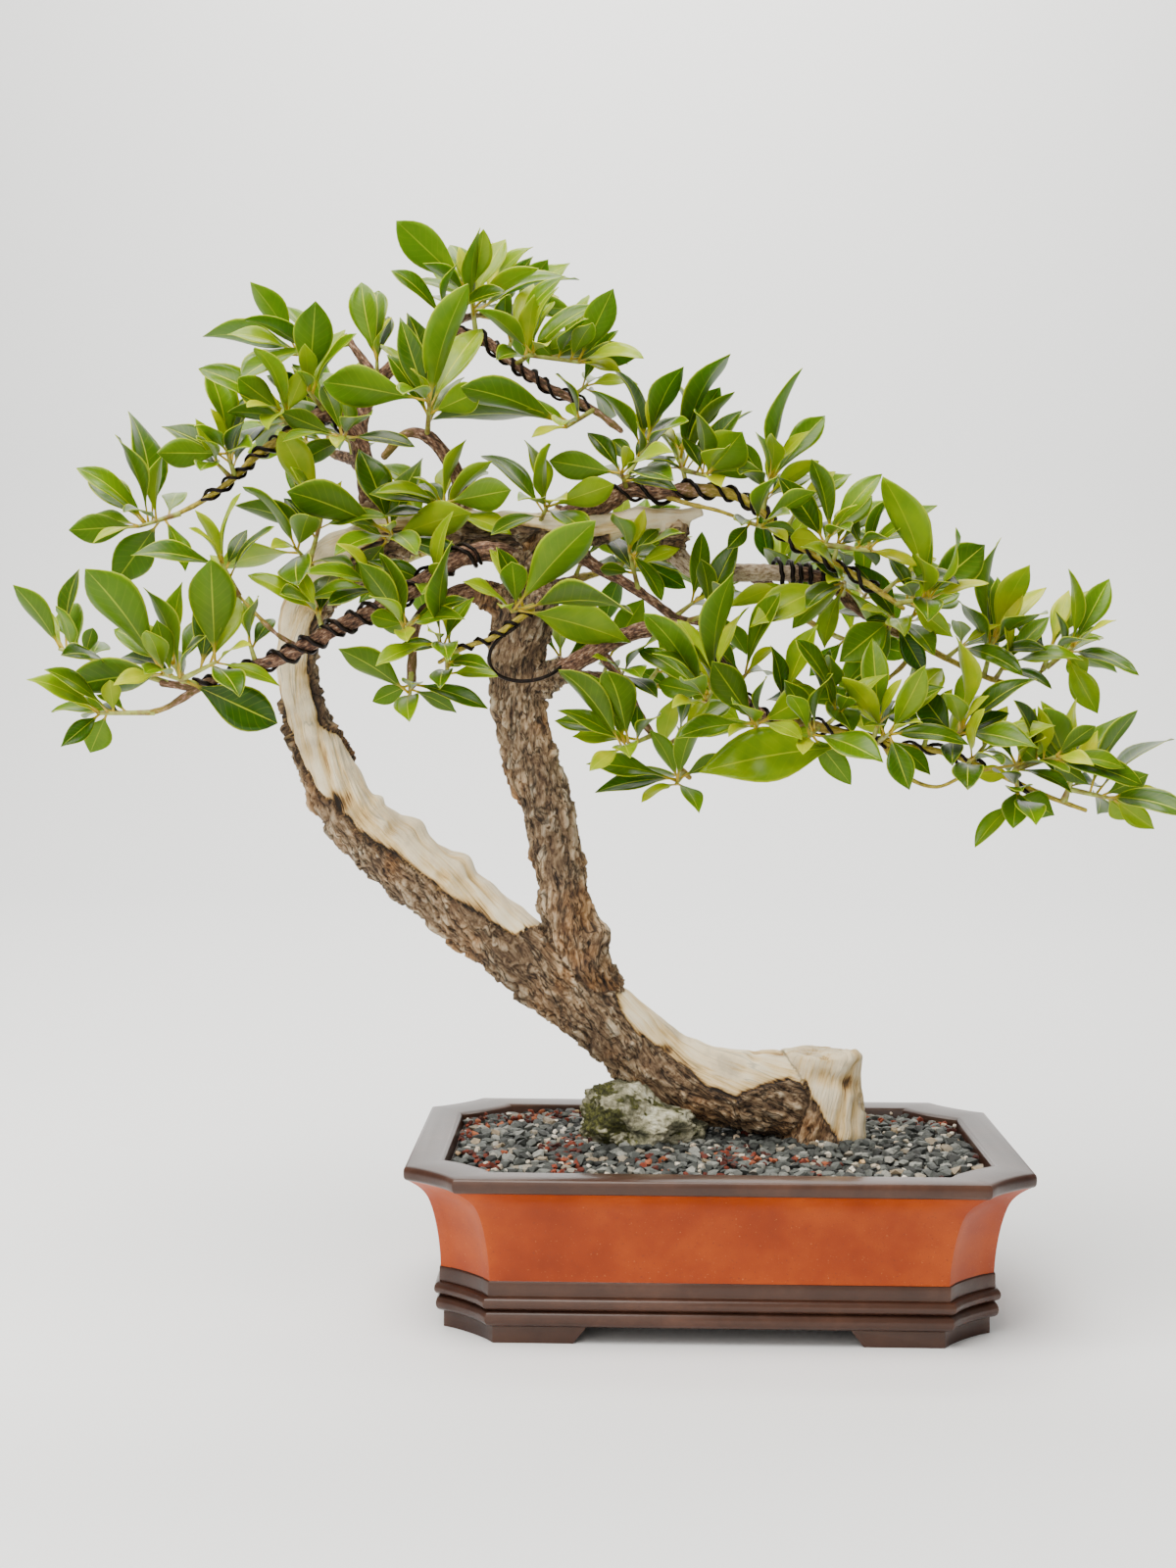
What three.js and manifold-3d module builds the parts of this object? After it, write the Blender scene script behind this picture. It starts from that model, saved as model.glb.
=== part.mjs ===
// Buttonwood bonsai in an eight-sided tray pot: pot, soil, rock, tree, training wires and leafy stems.
// Millimetres, +Z up, +X to the tree's long right branch, the viewer's side towards -Y.
import * as THREE from 'three';
import { mergeVertices } from 'three/addons/utils/BufferGeometryUtils.js';
import Module from 'manifold-3d';

const wasm = await Module();
wasm.setup();

// Pot
const potLength = 380;
const potDepth = 248;
const potHeight = 104;
const potCorner = 32;
const footHeight = 10;
const footInset = 22.8;
const wallProfile = [
  [footHeight, footInset], [13, 21.5], [17, 18.5], [21, 20.5], [25, 17.3], [29, 20], [38, 20.4], [60, 19],
  [82, 14], [90, 7], [95, 2], [97, 0], [102.5, 0], [potHeight, 1.8], [potHeight, 20], [102, 22.5],
];
const footWidth = 22;
const footGap = { longBottom: 174, longTop: 158, shortBottom: 96, shortTop: 84 };
const potFloorTop = 22;
const innerInset = { floor: 33, rim: 24 };
const drain = { radius: 10, spacing: 150, sides: 12 };

// Soil and gravel
const soilLevel = 95.5;
const soilCrown = 3;
const gravelPitch = 16;
const gravelRelief = 5;
const gravelSeed = 4407;
const gravelJitter = 0.3;
const highStone = { least: 0.55, spread: 0.45 };
const lowStone = { least: 0, spread: 0.25 };

// Rock beside the trunk
const rockSize = { x: 80, y: 56, z: 62 };
const rockCentre = { u: 652, v: 1148, y: 10 };
const rockKnobs = 0.1;
const rockRipple = 0.07;
const rockLedge = 0.06;

// Limbs: a stout one is ridged like old wood, and a slim one has few sides
const stout = { radius: 13, sides: 9, step: 28, ridges: 3, ridgeDepth: 0.09, ridgeTurn: 0.7 };
const slim = { radius: 7, sides: 5, step: 32 };
const twigSides = 4;

// Clearance between pieces, a little more where one is cut to fit round another, how far a
// cutting or joining shape runs past the face it works on, and when two corners are one
const seam = 0.35;
const cutMargin = seam + 0.1;
const overlap = 1;
const mergeWithin = 1e-4;

// Leafy stems: leaf proportions, spacing along a stem, and how a leaf is swung clear
const bladeTop = 0.35;
const bladeKeel = 0.95;
const leafWidthShare = 0.36;
const leafArch = 0.07;
const petioleHalf = 0.8;
const forkFrom = 0.5;
const leafSpacing = 4;
const leastSpacing = 3;
const leafyShare = 0.75;
const firstLeaf = 1.4;
const clearMargin = 0.8;
const swingStep = 6;
const swingTries = 5;
const shorterLeaf = [1, 0.8, 0.64];
const drawnOut = 0.6;
const stemRadius = { foot: 2.4, end: 1.7 };
const stemSides = 3;
const leafSeed = 20611;
const depthShare = { least: 0.25, spread: 0.3 };
const behindLeaf = { reach: 24, reachSpread: 30, depth: 30, depthSpread: 16, width: 12, widthSpread: 14 };

// The tree is laid out from the place it is looked at: picture points of a frame 1200 wide and
// 1600 high, each with its depth y in the pot's own frame
const view = {
  eye: new THREE.Vector3(-58.6, -1345.1, 393.4),
  focal: 2150,
  centre: { u: 600, v: 800 },
  pan: THREE.MathUtils.degToRad(1.006),
  tilt: THREE.MathUtils.degToRad(2.664),
  roll: THREE.MathUtils.degToRad(0.427),
};

// The point at depth y that is seen at picture point (u, v)
function at(u, v, y) {
  const right = (u - view.centre.u) / view.focal;
  const up = (view.centre.v - v) / view.focal;
  const x0 = right * Math.cos(view.roll) - up * Math.sin(view.roll);
  const up0 = right * Math.sin(view.roll) + up * Math.cos(view.roll);
  const y0 = Math.cos(view.tilt) + up0 * Math.sin(view.tilt);
  const z0 = up0 * Math.cos(view.tilt) - Math.sin(view.tilt);
  const ray = new THREE.Vector3(
    x0 * Math.cos(view.pan) - y0 * Math.sin(view.pan),
    x0 * Math.sin(view.pan) + y0 * Math.cos(view.pan),
    z0,
  );
  return ray.multiplyScalar((y - view.eye.y) / ray.y).add(view.eye);
}

// A small seeded draw between 0 and 1
const drawPrime = 2147483647;
const drawFactor = 16807;

function draws(seed) {
  let state = seed;
  return () => {
    state = (state * drawFactor) % drawPrime;
    return state / drawPrime;
  };
}

function toSolid(geometry) {
  const bare = geometry.clone();
  bare.deleteAttribute('normal');
  bare.deleteAttribute('uv');
  const merged = mergeVertices(bare, mergeWithin);
  const mesh = new wasm.Mesh({
    numProp: 3,
    vertProperties: new Float32Array(merged.attributes.position.array),
    triVerts: new Uint32Array(merged.index.array),
  });
  return new wasm.Manifold(mesh);
}

function fromSolid(solid) {
  const mesh = solid.getMesh();
  const geometry = new THREE.BufferGeometry();
  geometry.setAttribute('position', new THREE.BufferAttribute(new Float32Array(mesh.vertProperties), 3));
  geometry.setIndex(new THREE.BufferAttribute(new Uint32Array(mesh.triVerts), 1));
  return geometry;
}

function union(solids) {
  return wasm.Manifold.union(solids);
}

// The largest body of a solid, with any loose scrap dropped
function largest(solid) {
  const bodies = solid.decompose();
  return bodies.reduce((best, body) => (body.volume() > best.volume() ? body : best));
}

function facesOver(points, faces) {
  const geometry = new THREE.BufferGeometry();
  const numbers = points.flatMap((point) => point.toArray());
  geometry.setAttribute('position', new THREE.Float32BufferAttribute(numbers, 3));
  geometry.setIndex(faces);
  return geometry;
}

// A closed skin over a row of rings, each a loop of points in the same order
function loft(rings) {
  const count = rings[0].length;
  const points = rings.flat();
  const faces = [];
  for (let ring = 0; ring < rings.length - 1; ring += 1) {
    for (let side = 0; side < count; side += 1) {
      const next = (side + 1) % count;
      const a = ring * count + side;
      const b = ring * count + next;
      faces.push(a, b, b + count, a, b + count, a + count);
    }
  }
  const last = (rings.length - 1) * count;
  for (let side = 1; side < count - 1; side += 1) {
    faces.push(0, side + 1, side);
    faces.push(last, last + side, last + side + 1);
  }
  return facesOver(points, faces);
}

// Stations along a smooth path of [u, v, depth, radius], each with a frame that doesn't twist
function stations(path, step) {
  const curve = new THREE.CatmullRomCurve3(path.map(([u, v, y]) => at(u, v, y)), false, 'centripetal');
  const count = Math.max(2, Math.round(curve.getLength() / step));
  const radii = path.map((point) => point[3]);
  const list = [];
  let normal = null;
  for (let k = 0; k <= count; k += 1) {
    const t = curve.getUtoTmapping(k / count);
    const tangent = curve.getTangent(t);
    if (normal === null) {
      normal = new THREE.Vector3(0, 1, 0).cross(tangent);
    }
    normal = normal.clone().addScaledVector(tangent, -normal.dot(tangent)).normalize();
    const place = t * (radii.length - 1);
    const low = Math.min(Math.floor(place), radii.length - 2);
    list.push({
      centre: curve.getPoint(t),
      tangent,
      normal,
      side: tangent.clone().cross(normal),
      radius: THREE.MathUtils.lerp(radii[low], radii[low + 1], place - low),
    });
  }
  return list;
}

function ringAt(station, sides, radiusAt) {
  const ring = [];
  for (let side = 0; side < sides; side += 1) {
    const angle = (2 * Math.PI * side) / sides;
    const radius = radiusAt(angle);
    ring.push(station.centre.clone()
      .addScaledVector(station.normal, radius * Math.cos(angle))
      .addScaledVector(station.side, radius * Math.sin(angle)));
  }
  return ring;
}

// Pot: a moulded tray with cut corners, two rolls at its base, a broad lip and four angle feet
function octagon(z, inset) {
  const x = potLength / 2 - inset;
  const y = potDepth / 2 - inset;
  const corner = potCorner;
  return [
    [x, -y + corner], [x, y - corner], [x - corner, y], [-x + corner, y],
    [-x, y - corner], [-x, -y + corner], [-x + corner, -y], [x - corner, -y],
  ].map(([px, py]) => new THREE.Vector3(px, py, z));
}

function slot(length, topLength, width, alongX) {
  const shape = new THREE.Shape();
  shape.moveTo(-length / 2, -overlap);
  shape.lineTo(length / 2, -overlap);
  shape.lineTo(topLength / 2, footHeight);
  shape.lineTo(-topLength / 2, footHeight);
  const geometry = new THREE.ExtrudeGeometry(shape, { depth: width, bevelEnabled: false });
  geometry.translate(0, 0, -width / 2);
  geometry.rotateX(Math.PI / 2);
  if (!alongX) {
    geometry.rotateZ(Math.PI / 2);
  }
  return toSolid(geometry);
}

function makePot() {
  const wholeProfile = [...wallProfile, [soilLevel, innerInset.rim], [potFloorTop, innerInset.floor]];
  const body = toSolid(loft(wholeProfile.map(([z, inset]) => octagon(z, inset))));
  const footRing = toSolid(loft([octagon(0, footInset), octagon(footHeight + overlap, footInset)]));
  const inside = toSolid(loft([
    octagon(-overlap, footInset + footWidth), octagon(footHeight, footInset + footWidth),
  ]));
  const feet = footRing
    .subtract(slot(footGap.longBottom, footGap.longTop, potDepth, true))
    .subtract(slot(footGap.shortBottom, footGap.shortTop, potLength, false))
    .subtract(inside);
  const drains = [-1, 1].map((side) => {
    const hole = new THREE.CylinderGeometry(drain.radius, drain.radius, 2 * potFloorTop, drain.sides);
    hole.rotateX(Math.PI / 2);
    hole.translate((side * drain.spacing) / 2, 0, potFloorTop / 2);
    return toSolid(hole);
  });
  return body.add(feet).subtract(union(drains));
}

// Tree: two trunks and every woody branch, grown as one piece; [u, v, depth, radius] along each
const limbs = {
  root: [
    [838, 1262, 26, 20], [838, 1225, 26, 27], [838, 1180, 26, 29], [838, 1120, 26, 28],
    [840, 1073, 26, 26],
  ],
  trunk_lower: [
    [850, 1122, 26, 22], [800, 1116, 25, 27], [758, 1112, 23, 27], [718, 1105, 21, 25],
    [688, 1094, 20, 24], [660, 1074, 19, 23], [632, 1050, 17, 22.5], [596, 1022, 14, 23],
    [556, 990, 11, 23], [517, 960, 9, 22.5], [484, 934, 7, 23], [450, 905, 5, 23.5], [404, 870, 3, 22],
    [364, 836, 2, 19.5], [340, 797, 2, 18], [320, 748, 3, 16], [304, 692, 6, 12.5], [306, 648, 10, 14],
    [319, 608, 14, 17.5], [344, 577, 16, 19], [376, 558, 16, 16], [420, 546, 16, 12],
    [470, 540, 14, 11], [540, 540, 10, 11], [600, 540, 6, 10], [650, 531, 2, 8], [718, 522, 0, 3],
  ],
  trunk_upper: [
    [618, 1020, 14, 14], [590, 975, 8, 17], [572, 900, 3, 16], [560, 835, 0, 16], [538, 768, -2, 16],
    [527, 700, -4, 15], [530, 655, -4, 17], [533, 612, -4, 19],
  ],
  trunk_neck: [[534, 632, -4, 13], [545, 590, 2, 12], [556, 548, 8, 10]],
  left_low: [
    [548, 590, -4, 10], [515, 566, -16, 8], [480, 565, -26, 7.5], [450, 580, -33, 7],
    [400, 615, -40, 6.5], [345, 640, -45, 6], [300, 665, -48, 5.5], [260, 680, -50, 5],
    [230, 690, -52, 4.5], [198, 700, -54, 4], [165, 697, -56, 3],
  ],
  left_low_fork: [[205, 700, -54, 3.5], [170, 722, -57, 3], [150, 728, -60, 2.4]],
  left_twig: [[300, 658, -48, 2.4], [280, 645, -52, 2.2], [255, 620, -56, 2], [235, 598, -58, 1.8]],
  left_up: [
    [385, 552, 16, 10], [376, 510, 14, 8], [371, 468, 10, 8], [360, 440, 5, 7], [333, 423, 2, 6],
    [300, 441, 0, 5.5], [262, 465, -2, 5], [240, 487, -4, 4.5], [205, 512, -4, 4], [178, 526, -4, 3],
  ],
  top: [
    [369, 462, 11, 7], [368, 430, 14, 6.5], [384, 392, 18, 6], [405, 371, 20, 5.5], [435, 352, 22, 5],
    [465, 341, 23, 4.5], [490, 345, 22, 4.2], [520, 368, 16, 4], [560, 395, 10, 3.7],
    [605, 418, 4, 3.5], [634, 440, 0, 2.6],
  ],
  top_stub: [[386, 394, 18, 5], [372, 370, 19, 4], [353, 343, 21, 3]],
  middle_up: [
    [470, 545, 14, 8], [468, 490, 8, 6.5], [453, 463, 2, 5.5], [436, 446, 0, 5], [415, 442, 2, 4.5],
    [392, 466, 8, 4],
  ],
  left_middle: [
    [520, 618, -6, 9], [480, 603, -14, 6.5], [447, 614, -20, 5.5], [425, 634, -25, 5],
    [421, 665, -27, 4.5], [420, 700, -28, 4],
  ],
  centre_twig: [
    [560, 606, -10, 6], [545, 620, -28, 5], [522, 637, -36, 4.5], [500, 652, -41, 4],
    [475, 660, -44, 3.6], [448, 676, -46, 3],
  ],
  right_low: [
    [545, 698, -6, 9], [580, 681, -14, 8], [612, 662, -19, 7], [655, 643, -24, 6.5], [690, 640, -27, 6],
    [722, 662, -29, 5.7], [748, 700, -30, 5.6], [775, 730, -30, 5.6], [820, 738, -30, 5.4],
    [862, 748, -30, 5], [905, 759, -30, 4.6], [960, 767, -28, 4.2], [1010, 786, -26, 4],
    [1065, 811, -24, 3.6], [1108, 827, -24, 2.8],
  ],
  right_low_twig: [
    [902, 760, -30, 3.5], [922, 790, -36, 3], [955, 803, -40, 2.6], [990, 789, -42, 2.4],
    [1040, 780, -42, 2],
  ],
  right_hanging: [
    [612, 664, -19, 4.5], [638, 700, -18, 3.8], [656, 735, -16, 3.3], [680, 768, -13, 3],
    [704, 794, -12, 2.4],
  ],
  right_inner: [
    [572, 545, 8, 8], [600, 573, 4, 5.5], [628, 588, 2, 4.6], [662, 611, 0, 4], [690, 630, 2, 3.4],
    [716, 636, 4, 2.6],
  ],
  right_up: [
    [545, 540, 9, 9], [580, 525, 4, 8], [612, 517, 0, 7.4], [640, 501, -4, 6.8], [675, 502, -8, 6.4],
    [710, 500, -10, 6.2], [745, 504, -12, 6], [775, 520, -14, 5.6], [802, 548, -16, 5.2],
    [835, 568, -17, 5], [870, 586, -18, 4.5], [898, 604, -20, 4], [922, 621, -22, 3],
  ],
  right_up_twig: [[672, 504, -8, 3], [702, 514, -16, 2.6], [732, 521, -21, 2.3], [760, 531, -24, 1.8]],
  right_middle: [
    [690, 532, 0, 7], [688, 562, 8, 7.5], [712, 582, 12, 7.5], [760, 584, 14, 7], [805, 585, 16, 6.4],
    [842, 592, 18, 5.2], [872, 618, 22, 4.6], [900, 638, 24, 4.2], [940, 658, 24, 3.8],
    [980, 679, 22, 3.4], [1015, 694, 20, 3], [1042, 698, 20, 2.4], [1074, 676, 20, 2],
  ],
  right_middle_twig: [[936, 656, 24, 3], [920, 680, 15, 2.6], [888, 705, 8, 2.3], [856, 721, 2, 1.8]],
  back_left: [[372, 480, 12, 7], [362, 470, 45, 5.5], [338, 462, 80, 4.2], [318, 452, 108, 2.6]],
  back_top: [[455, 342, 23, 5], [462, 330, 52, 4.2], [486, 322, 82, 3.2], [512, 326, 104, 2.2]],
  back_middle: [[530, 622, 2, 10], [552, 606, 42, 7], [592, 590, 78, 5], [636, 578, 112, 2.8]],
  back_centre: [[452, 543, 16, 7], [458, 538, 52, 5.5], [440, 560, 88, 4], [418, 572, 112, 2.4]],
  back_right: [[762, 584, 14, 6], [782, 596, 46, 5], [816, 628, 78, 4], [858, 652, 108, 2.6]],
  back_low: [[536, 690, 2, 9], [572, 690, 40, 6], [632, 692, 76, 4.4], [688, 704, 102, 2.6]],
};

function makeLimb(path, grow) {
  const thickest = Math.max(...path.map((point) => point[3]));
  const old = thickest > stout.radius;
  const branchSides = thickest > slim.radius ? slim.sides : twigSides;
  const rings = stations(path, old ? stout.step : slim.step).map((station, index) => ringAt(
    station,
    old ? stout.sides : branchSides,
    (angle) => {
      const ridge = old ? stout.ridgeDepth * Math.cos(stout.ridges * angle + index * stout.ridgeTurn) : 0;
      return station.radius * (1 + ridge) + grow;
    },
  ));
  return toSolid(loft(rings));
}

function makeWood(grow) {
  return union(Object.values(limbs).map((path) => makeLimb(path, grow)));
}

// Training wire, wound along part of a limb; from and to are shares of its length
const wires = {
  wire_left_low: { limb: 'left_low', from: 0.17, to: 0.93, pitch: 25, radius: 1.5, turn: 1 / 3 },
  wire_left_up: { limb: 'left_up', from: 0.36, to: 0.93, pitch: 24, radius: 1.3, turn: 1 / 4 },
  wire_top: { limb: 'top', from: 0.3, to: 0.9, pitch: 25, radius: 1.2, turn: 2 / 3 },
  wire_right_low: { limb: 'right_low', from: 0.32, to: 0.92, pitch: 28, radius: 1.3, turn: 1 / 6 },
  wire_right_up: { limb: 'right_up', from: 0.22, to: 0.94, pitch: 26, radius: 1.4, turn: 2 / 3 },
  wire_right_middle: { limb: 'right_middle', from: 0.3, to: 0.44, pitch: 7, radius: 1.5, turn: 1 / 3 },
};
const wireSteps = 5;
const wireSides = 3;

function makeWire({ limb, from, to, pitch, radius, turn }, grow) {
  const fine = stations(limbs[limb], pitch / wireSteps);
  const points = [];
  for (let k = Math.round(from * (fine.length - 1)); k <= to * (fine.length - 1); k += 1) {
    const station = fine[k];
    const angle = 2 * Math.PI * (k / wireSteps + turn);
    const reach = (station.radius + seam + radius) / Math.cos(Math.PI / wireSteps);
    points.push(station.centre.clone()
      .addScaledVector(station.normal, reach * Math.cos(angle))
      .addScaledVector(station.side, reach * Math.sin(angle)));
  }
  const rings = points.map((point, index) => {
    const tangent = points[Math.min(index + 1, points.length - 1)].clone()
      .sub(points[Math.max(index - 1, 0)]).normalize();
    const station = fine[Math.round(from * (fine.length - 1)) + index];
    const out = point.clone().sub(station.centre);
    const normal = out.addScaledVector(tangent, -out.dot(tangent)).normalize();
    return ringAt(
      { centre: point, normal, side: tangent.clone().cross(normal) },
      wireSides,
      () => radius + grow,
    );
  });
  return toSolid(loft(rings));
}

// Leaf: a thin blade from its stalk to its tip, flat above and keeled below along its midrib,
// turned so that its upper face looks up; stations are shares of its length and of its width
const bladeStations = {
  large: [[0, 0], [0.4, 0.5], [0.74, 0.39]],
  small: [[0, 0], [0.5, 0.5]],
};
const largeWidth = 13;
const clearFrom = 0.13;

function leafFrame(base, tip, seenWidth) {
  const along = tip.clone().sub(base);
  const length = along.length();
  along.normalize();
  const sight = base.clone().add(tip).multiplyScalar(0.5).sub(view.eye);
  const scale = sight.length() / view.focal;
  sight.normalize();
  const width = Math.max(leafWidthShare * length, seenWidth * scale);
  const across = along.clone().cross(sight).normalize();
  const other = across.clone().cross(along);
  const share = Math.min(1, (seenWidth * scale) / width);
  const choices = [1, -1].map((sign) => {
    const side = across.clone().multiplyScalar(share)
      .addScaledVector(other, sign * Math.sqrt(1 - share * share));
    const normal = along.clone().cross(side);
    return normal.z < 0 ? { side: side.negate(), normal: normal.negate() } : { side, normal };
  });
  const { side, normal } = choices[0].normal.z >= choices[1].normal.z ? choices[0] : choices[1];
  return { base, along, side, normal, length, width };
}

function makeBlade(frame, margin, from) {
  const { base, along, side, normal, length, width } = frame;
  const [first, ...rest] = width > largeWidth ? bladeStations.large : bladeStations.small;
  const start = [from, (rest[0][1] * (from - first[0])) / (rest[0][0] - first[0])];
  const place = (t, reach, lift) => base.clone()
    .addScaledVector(along, t * length)
    .addScaledVector(side, reach)
    .addScaledVector(normal, 4 * leafArch * length * t * (1 - t) + lift);
  const points = [];
  [start, ...rest].forEach(([t, share]) => {
    const half = Math.max(petioleHalf, share * width) + margin;
    points.push(place(t, half, bladeTop + margin));
    points.push(place(t, -half, bladeTop + margin));
    points.push(place(t, 0, -bladeKeel - margin));
  });
  const count = points.length / 3;
  const tip = points.length;
  points.push(place(1, 0, 0));
  const faces = [0, 2, 1];
  for (let k = 0; k < count - 1; k += 1) {
    for (let corner = 0; corner < 3; corner += 1) {
      const a = 3 * k + corner;
      const b = 3 * k + ((corner + 1) % 3);
      faces.push(a, b + 3, a + 3, a, b, b + 3);
    }
  }
  for (let corner = 0; corner < 3; corner += 1) {
    faces.push(3 * (count - 1) + corner, 3 * (count - 1) + ((corner + 1) % 3), tip);
  }
  return toSolid(facesOver(points, faces));
}

// Leafy stems. A shoot has a stem of [u, v, depth], its leaves by the picture point of each tip
// and the width that is seen there, and how many leaves it has besides on its far side
const shoot = (stem, leaves, behind = 1) => ({ stem, leaves, behind });

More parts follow.
